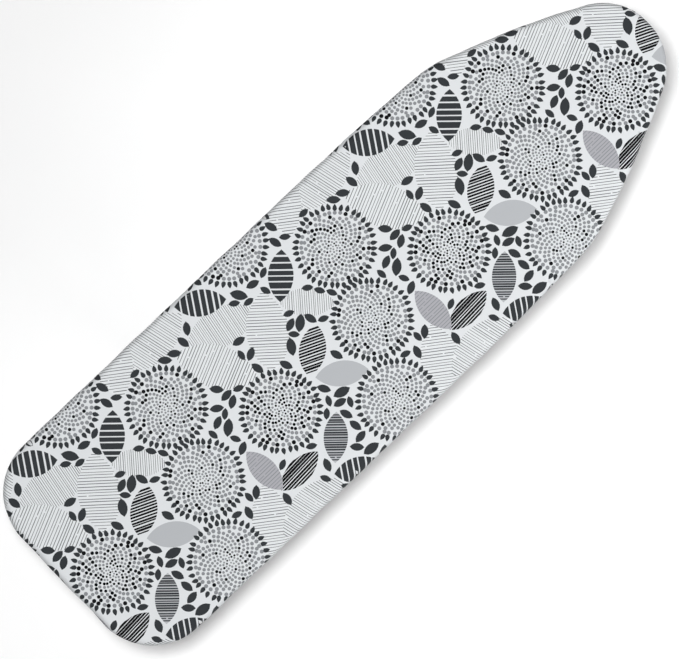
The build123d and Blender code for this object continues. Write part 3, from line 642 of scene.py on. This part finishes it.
def wrap_cloth(points, depth):
    """Places points of the flat cloth on the covered board, depth below its outer face."""
    beyond, outward, along = edge_frame(points, EDGE_RADIUS)
    turn = np.clip(beyond / EDGE_RADIUS, 0, math.pi / 2)
    lower_turn = np.clip((beyond - WALL_END) / LOWER_RADIUS, 0, math.pi / 2)
    wall = np.clip(beyond - ARC_LENGTH, 0, WALL_LENGTH)
    lip = np.maximum(beyond - LOWER_END, 0)

    out = (EDGE_RADIUS - depth) * np.sin(turn)
    out -= (LOWER_RADIUS - depth) * (1 - np.cos(lower_turn)) + lip
    down = depth + (EDGE_RADIUS - depth) * (1 - np.cos(turn)) + wall
    down += (LOWER_RADIUS - depth) * np.sin(lower_turn)
    loosen_cloth(points, beyond, along, out, down)

    foot = points - outward * beyond[:, None]
    placed = foot + outward * out[:, None]
    on_flat = beyond <= 0
    placed[on_flat] = points[on_flat]
    return np.column_stack([placed, TOP_Z - down])


def guide_points(grid, rings, ring_spacing, flat_limit):
    """Points that give the flat cloth's mesh its density: a grid inside and rings along the edge."""
    lengthways = np.arange(-HALF_LENGTH - grid, HALF_LENGTH + grid, grid) + GRID_SHIFT[0]
    across = np.arange(-HALF_WIDTH - grid, HALF_WIDTH + grid, grid) + GRID_SHIFT[1]
    points = np.array([(x, y) for x in lengthways for y in across])
    beyond, _, _ = edge_frame(points, EDGE_RADIUS)
    found = [points[beyond < flat_limit]]
    for ring in rings:
        spacing = ring_spacing if ring < ARC_LENGTH else ring_spacing * WALL_SPACING_SHARE
        found.append(np.array(edge_loop(EDGE_RADIUS - ring, spacing)))
    return np.concatenate(found)


def divided(loop, longest):
    """Closed loop with its long edges divided."""
    found = []
    for start, end in zip(loop, loop[1:] + loop[:1]):
        steps = max(1, math.ceil(math.dist(start, end) / longest))
        found += [between(start, end, step / steps) for step in range(steps)]
    return found


def shapes_on_cloth():
    """Every printed shape that falls on the cloth, its edges divided finely where the cloth bends."""
    columns = [column * REPEAT_LENGTH + PRINT_SHIFT[0] for column in range(-3, 4)]
    rows = [row * REPEAT_WIDTH + PRINT_SHIFT[1] for row in (-1, 0, 1)]
    shifts = [(along, across) for along in columns for across in rows]
    copies = []
    for ink, loop in print_shapes():
        for along, across in shifts:
            copy = [(x + along, y + across) for x, y in loop]
            near_length = abs(copy[0][0]) < HALF_LENGTH + PRINT_MARGIN
            near_width = abs(copy[0][1]) < HALF_WIDTH + PRINT_MARGIN
            if near_length and near_width:
                copies.append((ink, copy))
    corners = np.concatenate([np.array(loop) for _, loop in copies])
    beyond, _, _ = edge_frame(corners, EDGE_RADIUS)
    found = []
    place = 0
    for ink, loop in copies:
        reach = beyond[place:place + len(loop)]
        place += len(loop)
        if reach.min() < CLOTH_END - SHORT_OF_EDGE:
            found.append((ink, divided(loop, BEND_EDGE if reach.max() > BEND_START else LONG_EDGE)))
    return found


def add_slab(x_low, x_high, shapes, points, border, found):
    """Triangulates one slab of the flat cloth and adds its triangles and inks to what is found."""
    vertices = []
    edges = []
    faces = []
    inks = []

    def add_points(path):
        start = len(vertices)
        vertices.extend(path)
        return list(range(start, len(vertices)))

    reach = HALF_WIDTH + CLOTH_MARGIN + SLAB_OVERHANG
    for x in (x_low, x_high):
        edges.append(add_points([(x, -reach), (x, reach)]))
    near = [x_low - SLAB_BORDER < x < x_high + SLAB_BORDER for x, _ in border]
    for number, (start, end) in enumerate(zip(border, border[1:] + border[:1])):
        if near[number] or near[(number + 1) % len(border)]:
            edges.append(add_points([start, end]))
    for ink, loop in shapes:
        if max(x for x, _ in loop) > x_low and min(x for x, _ in loop) < x_high:
            faces.append(add_points(loop))
            inks.append(ink)
    inside = (points[:, 0] > x_low + SLAB_CLEAR) & (points[:, 0] < x_high - SLAB_CLEAR)
    add_points(points[inside].tolist())

    places, triangles, _, sources = triangulated(vertices, edges, faces, EVERYWHERE)
    triangles = np.array(triangles)
    middles = places[triangles].mean(1)
    beyond, _, _ = edge_frame(middles, EDGE_RADIUS)
    kept = (beyond < CLOTH_END) & (middles[:, 0] > x_low) & (middles[:, 0] < x_high)
    for number in np.nonzero(kept)[0]:
        found["triangles"].append(triangles[number] + found["count"])
        found["inks"].append(inks[max(sources[number])] if sources[number] else GROUND)
    found["places"].append(places)
    found["count"] += len(places)


def printed_cloth():
    """Flat cloth as places, triangles and each triangle's ink, with its mesh following the print."""
    shapes = shapes_on_cloth()
    points = guide_points(CLOTH_GRID, CLOTH_RINGS, RING_SPACING, FLAT_LIMIT)
    border = edge_loop(-CLOTH_MARGIN, BORDER_SPACING)
    found = {"places": [], "triangles": [], "inks": [], "count": 0}
    slabs = math.ceil(2 * (HALF_LENGTH + CLOTH_MARGIN) / SLAB_WIDTH)
    for slab in range(slabs):
        x_low = SLAB_START + slab * SLAB_WIDTH
        add_slab(x_low, x_low + SLAB_WIDTH, shapes, points, border, found)
    places = np.concatenate(found["places"])
    return places, np.array(found["triangles"]), np.array(found["inks"])


def welded(places, triangles, inks):
    """Joins the slabs: one number for each place, and no triangle with two corners alike."""
    keys = np.round(places / WELD).astype(np.int64)
    _, first, numbers = np.unique(keys, axis=0, return_index=True, return_inverse=True)
    triangles = numbers.reshape(-1)[triangles]
    following = np.roll(triangles, -1, axis=1)
    whole = (triangles != following).all(1)
    triangles = triangles[whole]
    used, compact = np.unique(triangles, return_inverse=True)
    return places[first][used], compact.reshape(triangles.shape), inks[whole]


def border_of(triangles):
    """Loop of vertices round a sheet's free edge, in the order that its triangles turn."""
    sides = np.concatenate([triangles[:, [0, 1]], triangles[:, [1, 2]], triangles[:, [2, 0]]])
    seen = {tuple(side) for side in sides.tolist()}
    following = {start: end for start, end in seen if (end, start) not in seen}
    first = min(following)
    loop = [first]
    while following[loop[-1]] != first:
        loop.append(following[loop[-1]])
    return loop


def lining_under(edge, first_number):
    """Coarse inner face of the cover: its places and triangles, and its vertex under each edge place."""
    guides = guide_points(LINING_GRID, LINING_RINGS, LINING_SPACING, FLAT_LIMIT)
    points = np.concatenate([edge, guides]).tolist()
    outline = [list(range(len(edge)))]
    places, triangles, sources, _ = triangulated(points, [], outline, INSIDE_ONLY)
    number_of = {}
    for number, found in enumerate(sources):
        for source in found:
            number_of[source] = number + first_number
    faces = [[corner + first_number for corner in reversed(face)] for face in triangles]
    return places, faces, number_of


def make_cover():
    """Printed cover: its outer face carries the print, and a coarser inner face closes the sheet."""
    places, triangles, inks = welded(*printed_cloth())
    border = border_of(triangles)
    edge = places[border]
    inner_places, inner_faces, inner_number = lining_under(edge, len(places))

    faces = triangles.tolist() + inner_faces
    for number in range(len(border)):
        after = (number + 1) % len(border)
        faces.append([border[after], border[number], inner_number[number], inner_number[after]])
    outer = wrap_cloth(places, 0.0)
    inner = wrap_cloth(inner_places, CLOTH_THICKNESS)
    cover = new_piece("printed_cover", np.concatenate([outer, inner]), faces)
    slots = inks.tolist() + [GROUND] * (len(faces) - len(inks))
    cover.data.polygons.foreach_set("material_index", slots)

    flat = np.concatenate([places, inner_places]) * MM
    cloth = cover.data.uv_layers.new(name="cloth")
    corners = np.zeros(len(cover.data.loops), np.int32)
    cover.data.loops.foreach_get("vertex_index", corners)
    cloth.data.foreach_set("uv", flat[corners].astype(np.float32).ravel())
    return cover, edge


# ---------------- materials


class Finish:
    """A material's node tree, with short calls for what several finishes share."""

    def __init__(self, name, colour, roughness, metallic=0.0):
        self.material = bpy.data.materials.new(name)
        self.material.use_nodes = True
        self.material.diffuse_color = (*colour, 1)
        self.nodes = self.material.node_tree.nodes
        self.links = self.material.node_tree.links
        self.shader = self.nodes["Principled BSDF"]
        self.shader.inputs["Base Color"].default_value = (*colour, 1)
        self.shader.inputs["Roughness"].default_value = roughness
        self.shader.inputs["Metallic"].default_value = metallic
        self.colour = colour
        self.place = self.nodes.new("ShaderNodeTexCoord").outputs["Object"]
        self.normal = None

    def add(self, kind, **inputs):
        """New node, each input a value or a socket to link. Names have underscores for spaces."""
        node = self.nodes.new(kind)
        for name, value in inputs.items():
            socket = node.inputs[name.replace("_", " ")]
            if isinstance(value, bpy.types.NodeSocket):
                self.links.new(value, socket)
            else:
                socket.default_value = value
        return node

    def cloth_place(self):
        """Takes the flat cloth's own coordinates in place of the object's."""
        uv = self.add("ShaderNodeUVMap")
        uv.uv_map = "cloth"
        self.place = uv.outputs["UV"]

    def stretched(self, scale):
        """Coordinates scaled by different amounts along X, Y and Z."""
        return self.add("ShaderNodeMapping", Vector=self.place, Scale=scale).outputs["Vector"]

    def noise(self, size, detail=3.0, roughness=0.55, place=None):
        """Noise whose lumps are about size metres."""
        texture = self.add("ShaderNodeTexNoise", Scale=1 / size, Detail=detail, Roughness=roughness)
        self.links.new(place or self.place, texture.inputs["Vector"])
        return texture.outputs["Fac"]

    def threads(self, pitch, direction):
        """Parallel threads pitch metres apart."""
        scale = math.pi / (10 * pitch)
        wave = self.add("ShaderNodeTexWave", Scale=scale, Distortion=0.6, Detail_Scale=0.4)
        wave.bands_direction = direction
        self.links.new(self.place, wave.inputs["Vector"])
        return wave.outputs["Fac"]

    def combine(self, operation, first, second):
        """Math node on two values."""
        node = self.add("ShaderNodeMath")
        node.operation = operation
        self.links.new(first, node.inputs[0])
        self.links.new(second, node.inputs[1])
        return node.outputs["Value"]

    def ranged(self, value, low, high, from_low=0.3, from_high=0.7):
        """Value stretched to run from low to high."""
        ends = {"From_Min": from_low, "From_Max": from_high, "To_Min": low, "To_Max": high}
        return self.add("ShaderNodeMapRange", Value=value, **ends).outputs["Result"]

    def bump(self, height, distance, strength):
        """Adds a bump on top of the bumps so far."""
        node = self.add("ShaderNodeBump", Height=height, Strength=strength, Distance=distance)
        if self.normal:
            self.links.new(self.normal, node.inputs["Normal"])
        self.normal = node.outputs["Normal"]
        self.links.new(self.normal, self.shader.inputs["Normal"])

    def vary_roughness(self, value, low, high):
        """Roughness that follows a value, from low to high."""
        self.links.new(self.ranged(value, low, high), self.shader.inputs["Roughness"])

    def tint(self, value, other, from_low=0.3, from_high=0.7):
        """Mixes the base colour with another one by a value."""
        mix = self.add("ShaderNodeMix")
        mix.data_type = "RGBA"
        base = self.shader.inputs["Base Color"]
        if base.is_linked:
            self.links.new(base.links[0].from_socket, mix.inputs["A"])
        else:
            mix.inputs["A"].default_value = (*self.colour, 1)
        mix.inputs["B"].default_value = (*other, 1)
        self.links.new(self.ranged(value, 0, 1, from_low, from_high), mix.inputs["Factor"])
        self.links.new(mix.outputs["Result"], base)

    def set(self, **values):
        """Sets the shader's own sockets, named with underscores for spaces."""
        for name, value in values.items():
            self.shader.inputs[name.replace("_", " ")].default_value = value


def shade(colour, factor):
    """Colour made darker or lighter by a factor."""
    return tuple(min(channel * factor, 1) for channel in colour)


# The inks are plain colours. Weave and folds come from bumps and roughness.
INKS = {
    GROUND: ("cotton_ground", (0.685, 0.705, 0.722)),
    PALE: ("cotton_pale", (0.725, 0.745, 0.76)),
    DOT_GREY: ("cotton_dot_grey", (0.24, 0.252, 0.266)),
    LEAF_GREY: ("cotton_leaf_grey", (0.44, 0.455, 0.475)),
    LILAC: ("cotton_lilac_grey", (0.385, 0.385, 0.415)),
    CHARCOAL: ("cotton_charcoal", (0.031, 0.035, 0.039)),
    BLACK: ("cotton_black", (0.003, 0.003, 0.004)),
    HATCH: ("cotton_hatch", (0.135, 0.145, 0.15)),
}


def cotton(name, colour):
    """Plain woven cotton, printed in one ink."""
    finish = Finish(name, colour, 0.82)
    finish.cloth_place()
    weave = finish.combine("MAXIMUM", finish.threads(0.00062, "X"), finish.threads(0.00055, "Y"))
    finish.bump(finish.noise(0.028, 4.0), 0.0007, 0.35)
    finish.bump(weave, 0.00012, 0.5)
    finish.vary_roughness(finish.noise(0.006), 0.72, 0.9)
    finish.set(Sheen_Weight=0.06, Sheen_Roughness=0.5, Specular_IOR_Level=0.14)
    return finish.material


def felt():
    """Needled felt: fibres that lie every way, with small tufts."""
    finish = Finish("pad_felt", (0.70, 0.71, 0.71), 0.95)
    finish.tint(finish.noise(0.004, 6.0, 0.7), (0.55, 0.56, 0.57))
    finish.tint(finish.noise(0.0009, 2.0), (0.80, 0.80, 0.79), 0.52, 0.75)
    finish.bump(finish.noise(0.0012, 5.0, 0.7), 0.0006, 0.8)
    finish.set(Sheen_Weight=0.3, Sheen_Roughness=0.6, Specular_IOR_Level=0.2)
    return finish.material


def tape(name, colour, pitch):
    """Narrow woven tape."""
    finish = Finish(name, colour, 0.85)
    ribs = finish.combine("MULTIPLY", finish.threads(pitch, "DIAGONAL"), finish.threads(pitch * 0.8, "Y"))
    finish.bump(ribs, 0.0003, 0.7)
    finish.tint(finish.noise(0.012, 4.0), shade(colour, 0.86))
    finish.vary_roughness(finish.noise(0.003), 0.75, 0.92)
    finish.set(Sheen_Weight=0.2, Specular_IOR_Level=0.25)
    return finish.material


def thread_cotton():
    """Twisted sewing thread."""
    finish = Finish("sewing_thread", (0.86, 0.865, 0.87), 0.7)
    finish.bump(finish.threads(0.0004, "DIAGONAL"), 0.0001, 0.6)
    finish.tint(finish.noise(0.003), (0.74, 0.745, 0.75))
    return finish.material


def satin_paint(name, colour, wear_colour):
    """Stoved satin paint with a faint orange peel and rubbed patches."""
    finish = Finish(name, colour, 0.4, 0.25)
    finish.tint(finish.noise(0.09, 3.0), shade(colour, 0.93))
    finish.tint(finish.noise(0.03, 5.0, 0.6), wear_colour, 0.63, 0.8)
    finish.bump(finish.noise(0.0011, 3.0), 0.00012, 0.45)
    finish.vary_roughness(finish.noise(0.03, 5.0), 0.32, 0.48)
    finish.set(Coat_Weight=0.15, Coat_Roughness=0.3)
    return finish.material


def zinc():
    """Zinc plated steel with a soft spangle."""
    finish = Finish("zinc_steel", (0.66, 0.67, 0.68), 0.32, 1.0)
    finish.tint(finish.noise(0.006, 4.0), (0.56, 0.58, 0.61))
    finish.tint(finish.noise(0.016, 3.0), (0.70, 0.68, 0.62), 0.58, 0.75)
    finish.bump(finish.noise(0.0008, 3.0), 0.00006, 0.4)
    finish.vary_roughness(finish.noise(0.004, 5.0), 0.24, 0.42)
    return finish.material


def drawn_wire():
    """Drawn spring wire, with fine marks along it."""
    finish = Finish("spring_steel", (0.42, 0.42, 0.43), 0.3, 1.0)
    finish.tint(finish.noise(0.002, 5.0), (0.30, 0.30, 0.32))
    finish.bump(finish.noise(0.0003, 2.0, place=finish.stretched((1, 6, 1))), 0.00004, 0.5)
    finish.vary_roughness(finish.noise(0.003, 4.0), 0.22, 0.42)
    return finish.material


def moulded_plastic(name, colour, roughness, texture_size, light_colour):
    """Moulded plastic with a fine spark-eroded texture and a few pale scuffs."""
    finish = Finish(name, colour, roughness)
    finish.bump(finish.noise(texture_size, 2.0), 0.00016, 0.6)
    finish.tint(finish.noise(0.01, 9.0, 0.75), light_colour, 0.64, 0.78)
    finish.vary_roughness(finish.noise(0.012, 4.0), roughness - 0.08, roughness + 0.1)
    return finish.material


def rubber():
    """Soft rubber, dusty where it meets the floor."""
    finish = Finish("foot_rubber", (0.035, 0.036, 0.038), 0.75)
    height = finish.add("ShaderNodeSeparateXYZ", Vector=finish.place)
    low = finish.ranged(height.outputs["Z"], 0.75, 0.0, 0.0, 0.012)
    dust = finish.combine("MULTIPLY", low, finish.noise(0.003, 6.0))
    finish.tint(dust, (0.20, 0.20, 0.19), 0.15, 0.6)
    finish.bump(finish.noise(0.0011, 3.0), 0.0002, 0.5)
    finish.vary_roughness(finish.noise(0.008, 4.0), 0.66, 0.86)
    return finish.material


def floor_paint():
    """Plain white studio floor."""
    finish = Finish("studio_floor", (0.97, 0.97, 0.97), 0.9)
    finish.set(Specular_IOR_Level=0.1)
    return finish.material


# ---------------- pad and hem, mm

PAD_SINK = 0.25
PAD_GROWTH = 0.3
# Inset from the pad's side, and share of its thickness, from the bottom edge to the flat top
PAD_PROFILE = [(0.0, 0.0), (0.0, 0.12), (0.9, 0.42), (2.6, 0.7), (5.2, 0.9), (8.8, 1.0), (16.0, 1.0)]
PAD_SPACING = 7.0
PAD_GRID = 24.0
PAD_FLAT_LIMIT = -19 - EDGE_RADIUS
PAD_RIPPLES = (43, 31, 22)
PAD_RIPPLE = 0.12

BAND_SECTION = 10
BAND_SQUARENESS = 0.45
BAND_SWELLS = (411, 533)
BAND_SPACING = 4.0
HEM_REACH = 34.0  # from the outline to the tape's inner edge
HEM_WIDTH = 9.0
HEM_INSET = HEM_REACH - HEM_WIDTH / 2
HEM_DROP = 0.9
HEM_SINK = 0.35
ELASTIC_WIDTH = 6.0

STITCH_LENGTH = 2.6
STITCH_GAP = 1.2
STITCH_RADIUS = 0.28
STITCH_SIDES = 6
STITCH_RINGS = [(0.0, 0.35), (0.12, 1.0), (0.88, 1.0), (1.0, 0.35)]  # share of length, share of radius
STITCH_INSET = HEM_INSET - 2.4
STITCH_DROP = 1.0


def evenly(loop, count):
    """Closed loop divided again into count equal steps."""
    points = np.array(loop + loop[:1])
    lengths = np.concatenate([[0], np.cumsum(np.hypot(*np.diff(points, axis=0).T))])
    stations = np.linspace(0, lengths[-1], count, endpoint=False)
    along = np.interp(stations, lengths, points[:, 0])
    across = np.interp(stations, lengths, points[:, 1])
    return list(zip(along, across))


def add_pad_face(ring, height, face_up, vertices, faces):
    """Closes the pad on a ring of its vertices, with a flat grid of new ones at a height."""
    edge = [vertices[number][:2] for number in ring]
    inside = guide_points(PAD_GRID, [], RING_SPACING, PAD_FLAT_LIMIT)
    outline = [list(range(len(edge)))]
    places, triangles, sources, _ = triangulated(edge + inside.tolist(), [], outline, INSIDE_ONLY)
    numbers = {}
    for number, found in enumerate(sources):
        if found and found[0] < len(ring):
            numbers[number] = ring[found[0]]
        else:
            numbers[number] = len(vertices)
            vertices.append((*places[number], height))
    for triangle in triangles:
        corners = [numbers[corner] for corner in triangle]
        faces.append(corners if face_up else corners[::-1])


def make_pad():
    """Felt pad: a flat bottom, a rounded upper edge and faint ripples."""
    low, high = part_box("pad")
    bottom = low.z / MM
    top = high.z / MM - PAD_SINK
    side = HALF_LENGTH - high.x / MM + PAD_GROWTH
    rng = random.Random(SEED + 1)
    thick = top - bottom
    loops = [edge_loop(side + inset, PAD_SPACING) for inset, _ in PAD_PROFILE]
    count = min(len(loop) for loop in loops)
    vertices = []
    faces = []
    rings = []
    for (_, share), loop in zip(PAD_PROFILE, loops):
        path = evenly(loop, count)
        rise = ripples(np.array(path), PAD_RIPPLES, rng) * PAD_RIPPLE * share
        rings.append(list(range(len(vertices), len(vertices) + count)))
        height = bottom + thick * share - PAD_RIPPLE
        vertices += [(x, y, height + ripple) for (x, y), ripple in zip(path, rise)]
    for lower, upper in zip(rings, rings[1:]):
        faces += bridge(lower, upper)
    add_pad_face(rings[0], bottom - PAD_RIPPLE, False, vertices, faces)
    add_pad_face(rings[-1], top - PAD_RIPPLE, True, vertices, faces)
    pad = new_piece("felt_pad", vertices, faces)
    face_outward(pad)
    return pad


def band(name, width, z_low, z_high, bulge, gather):
    """Band round the hem, its section rounded and its faces gathered in small waves."""
    rng = random.Random(SEED + 2)
    section = []
    for step in range(BAND_SECTION):
        angle = 2 * math.pi * step / BAND_SECTION
        flat = math.copysign(abs(math.cos(angle)) ** BAND_SQUARENESS, math.cos(angle))
        section.append((flat * width / 2, math.sin(angle) * (z_high - z_low) / 2))
    path = np.array(edge_loop(HEM_INSET, BAND_SPACING))
    _, outward, along = edge_frame(path, HEM_INSET)
    lift = waves(along, PLEAT_WAVES, rng) * gather
    swell = 1 + waves(along, BAND_SWELLS, rng) * bulge
    vertices = []
    rings = []
    for across, height in section:
        rings.append(list(range(len(vertices), len(vertices) + len(path))))
        for number in range(len(path)):
            x, y = path[number] + outward[number] * across
            vertices.append((x, y, (z_low + z_high) / 2 + height * swell[number] + lift[number]))
    faces = []
    for lower, upper in zip(rings, rings[1:] + rings[:1]):
        faces += bridge(lower, upper)
    piece = new_piece(name, vertices, faces)
    face_outward(piece)
    return piece


def make_stitches(z):
    """Row of stitches round the hem, each a short rounded thread."""
    path = edge_loop(STITCH_INSET, STITCH_LENGTH + STITCH_GAP)
    vertices = []
    faces = []
    for start, after in zip(path, path[1:] + path[:1]):
        run = math.dist(start, after)
        heading = ((after[0] - start[0]) / run, (after[1] - start[1]) / run)
        across = (-heading[1], heading[0])
        rings = []
        for share, size in STITCH_RINGS:
            middle = point_along(start, heading, STITCH_LENGTH * share)
            rings.append(list(range(len(vertices), len(vertices) + STITCH_SIDES)))
            for side in range(STITCH_SIDES):
                angle = 2 * math.pi * side / STITCH_SIDES
                place = point_along(middle, across, STITCH_RADIUS * size * math.cos(angle))
                drop = STITCH_RADIUS * size * math.sin(angle)
                vertices.append((*place, z - drop + (1 - size) * STITCH_RADIUS))
        for lower, upper in zip(rings, rings[1:]):
            faces += bridge(lower, upper)
        faces.append(rings[0][::-1])
        faces.append(rings[-1])
    stitches = new_piece("hem_stitches", vertices, faces)
    face_outward(stitches)
    return stitches


# ---------------- build the soft pieces

cover, cut_edge = make_cover()
for ink in sorted(INKS):
    cover.data.materials.append(cotton(*INKS[ink]))

pad = make_pad()
pad.data.materials.append(felt())

binding_low, binding_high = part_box("hem_binding")
hem_low = binding_low.z / MM - HEM_DROP
hem_high = binding_high.z / MM - HEM_SINK
hem = band("hem_tape", HEM_WIDTH, hem_low, hem_high, bulge=0.12, gather=0.35)
hem.data.materials.append(tape("hem_tape", (0.80, 0.81, 0.815), 0.0009))

elastic_low, elastic_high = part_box("hem_elastic")
elastic = band(
    "elastic_band", ELASTIC_WIDTH, elastic_low.z / MM, elastic_high.z / MM, bulge=0.1, gather=0.0
)
elastic.data.materials.append(tape("elastic_braid", (0.84, 0.84, 0.83), 0.0012))

stitches = make_stitches(binding_low.z / MM - STITCH_DROP)
stitches.data.materials.append(thread_cotton())

for piece, slot, node in (
    (cover, "cover_fabric", "cover"),
    (pad, "pad_felt", "pad"),
    (hem, "hem_tape", "hem_binding"),
    (elastic, "hem_elastic", "hem_elastic"),
    (stitches, "hem_tape", None),
):
    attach(piece, "top")
    if node:
        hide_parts(node)

# ---------------- finishes of the CAD parts

finishes = {
    "sheet_steel": satin_paint("sheet_paint", (0.60, 0.61, 0.62), (0.42, 0.42, 0.43)),
    "frame_paint": satin_paint("frame_paint", (0.50, 0.51, 0.53), (0.36, 0.36, 0.37)),
    "leg_paint": satin_paint("leg_paint", (0.47, 0.48, 0.50), (0.33, 0.33, 0.34)),
    "zinc_steel": zinc(),
    "spring_steel": drawn_wire(),
    "grip_plastic": moulded_plastic(
        "grip_plastic", (0.028, 0.028, 0.03), 0.5, 0.0009, (0.075, 0.075, 0.08)
    ),
    "foot_rubber": rubber(),
    "nylon": moulded_plastic("nylon", (0.74, 0.74, 0.71), 0.42, 0.0013, (0.62, 0.62, 0.59)),
}

# Nodes of each finish, by the start of their names
FINISH_NODES = {
    "sheet_steel": ["top_sheet"],
    "frame_paint": ["rim_tube", "rim_sleeve", "cross_stay", "slide_rail", "pivot_bracket", "shaft_bracket"],
    "leg_paint": ["outer_leg", "inner_leg", "outer_foot_bar", "inner_foot_bar"],
    "zinc_steel": [
        "rail_rivets", "bracket_rivets", "shaft_bracket_rivets", "pivot_pins", "lever_shaft",
        "keeper", "release_lever", "centre", "slider_rod",
    ],
    "spring_steel": ["return_spring", "shaft_clips"],
    "grip_plastic": ["lever_grip", "outer_leg_plugs", "inner_leg_plugs", "rod_end_caps"],
    "foot_rubber": ["outer_foot_cap", "inner_foot_cap"],
    "nylon": ["pivot_bushes", "centre_bushes", "centre_spacers", "slider_bushes"],
}
FINISH_OF = {start: finish for finish, starts in FINISH_NODES.items() for start in starts}


def finish_of(node):
    """Finish of a CAD node, by the longest start of a name that fits it."""
    found = [start for start in FINISH_OF if node.startswith(start)]
    return FINISH_OF[max(found, key=len)]


for name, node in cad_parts.items():
    if node.hide_render:
        continue
    material = finishes[finish_of(name)]
    if not node.material_slots:
        node.data.materials.append(material)
    for slot in node.material_slots:
        slot.material = material

# ---------------- floor, camera and light

FLOOR_HALF = 12.0
floor_mesh = bpy.data.meshes.new("floor")
floor_corners = [(x * FLOOR_HALF, y * FLOOR_HALF, 0) for x, y in ((-1, -1), (1, -1), (1, 1), (-1, 1))]
floor_mesh.from_pydata(floor_corners, [], [(0, 1, 2, 3)])
floor = bpy.data.objects.new("floor", floor_mesh)
floor.data.materials.append(floor_paint())
bpy.context.scene.collection.objects.link(floor)

# Straight down on the board, with its nose to the upper right
VIEW_CENTRE = Vector((-0.0470, -0.0124, TOP_Z * MM))
UP_DIRECTION = math.radians(46.35)  # from +X, in the picture
VIEW_DISTANCE = 2.8
VIEW_LEAN = math.radians(0.5)
VIEW_WIDTH = 1.0033
SENSOR = 36.0

screen_up = Vector((math.cos(UP_DIRECTION), math.sin(UP_DIRECTION), 0))
towards_camera = Vector((-math.sin(VIEW_LEAN), 0, math.cos(VIEW_LEAN)))
camera_data = bpy.data.cameras.new("camera")
camera_data.sensor_width = SENSOR
camera_data.lens = SENSOR * VIEW_DISTANCE / VIEW_WIDTH
camera_data.clip_end = 100
camera = bpy.data.objects.new("camera", camera_data)
camera.location = VIEW_CENTRE + towards_camera * VIEW_DISTANCE
back = towards_camera.normalized()
right = screen_up.cross(back).normalized()
up = back.cross(right)
camera.rotation_euler = Matrix((right, up, back)).transposed().to_euler()
bpy.context.scene.collection.objects.link(camera)
bpy.context.scene.camera = camera


def area_light(name, place, target, size, irradiance, even=False):
    """Square soft light that gives about irradiance at its target."""
    data = bpy.data.lights.new(name, "AREA")
    data.size = size
    reach = (Vector(target) - Vector(place)).length
    data.energy = irradiance * math.pi * math.pi * reach * reach
    if even:
        # Constant fall-off, so that the floor is lit as strongly as the board
        data.use_nodes = True
        nodes = data.node_tree.nodes
        falloff = nodes.new("ShaderNodeLightFalloff")
        falloff.inputs["Strength"].default_value = 1.0
        data.node_tree.links.new(falloff.outputs["Constant"], nodes["Emission"].inputs["Strength"])
        data.energy = irradiance * math.pi * math.pi
    light = bpy.data.objects.new(name, data)
    light.location = place
    light.rotation_euler = (Vector(place) - Vector(target)).to_track_quat("Z", "Y").to_euler()
    bpy.context.scene.collection.objects.link(light)


board = Vector((0, 0, TOP_Z * MM))
KEY_OFFSET = Vector((-0.011, 0.058, 0))
SIDE_OFFSET = Vector((1.3, -2.0, 1.55))
area_light("key_light", camera.location + KEY_OFFSET, board, 0.115, 0.70, even=True)
area_light("side_light", board + SIDE_OFFSET, board, 1.2, 0.46)

world = bpy.data.worlds.new("studio")
world.use_nodes = True
world.node_tree.nodes["Background"].inputs["Color"].default_value = (1, 1, 1, 1)
world.node_tree.nodes["Background"].inputs["Strength"].default_value = 0.2
bpy.context.scene.world = world
bpy.context.scene.view_settings.view_transform = "Standard"
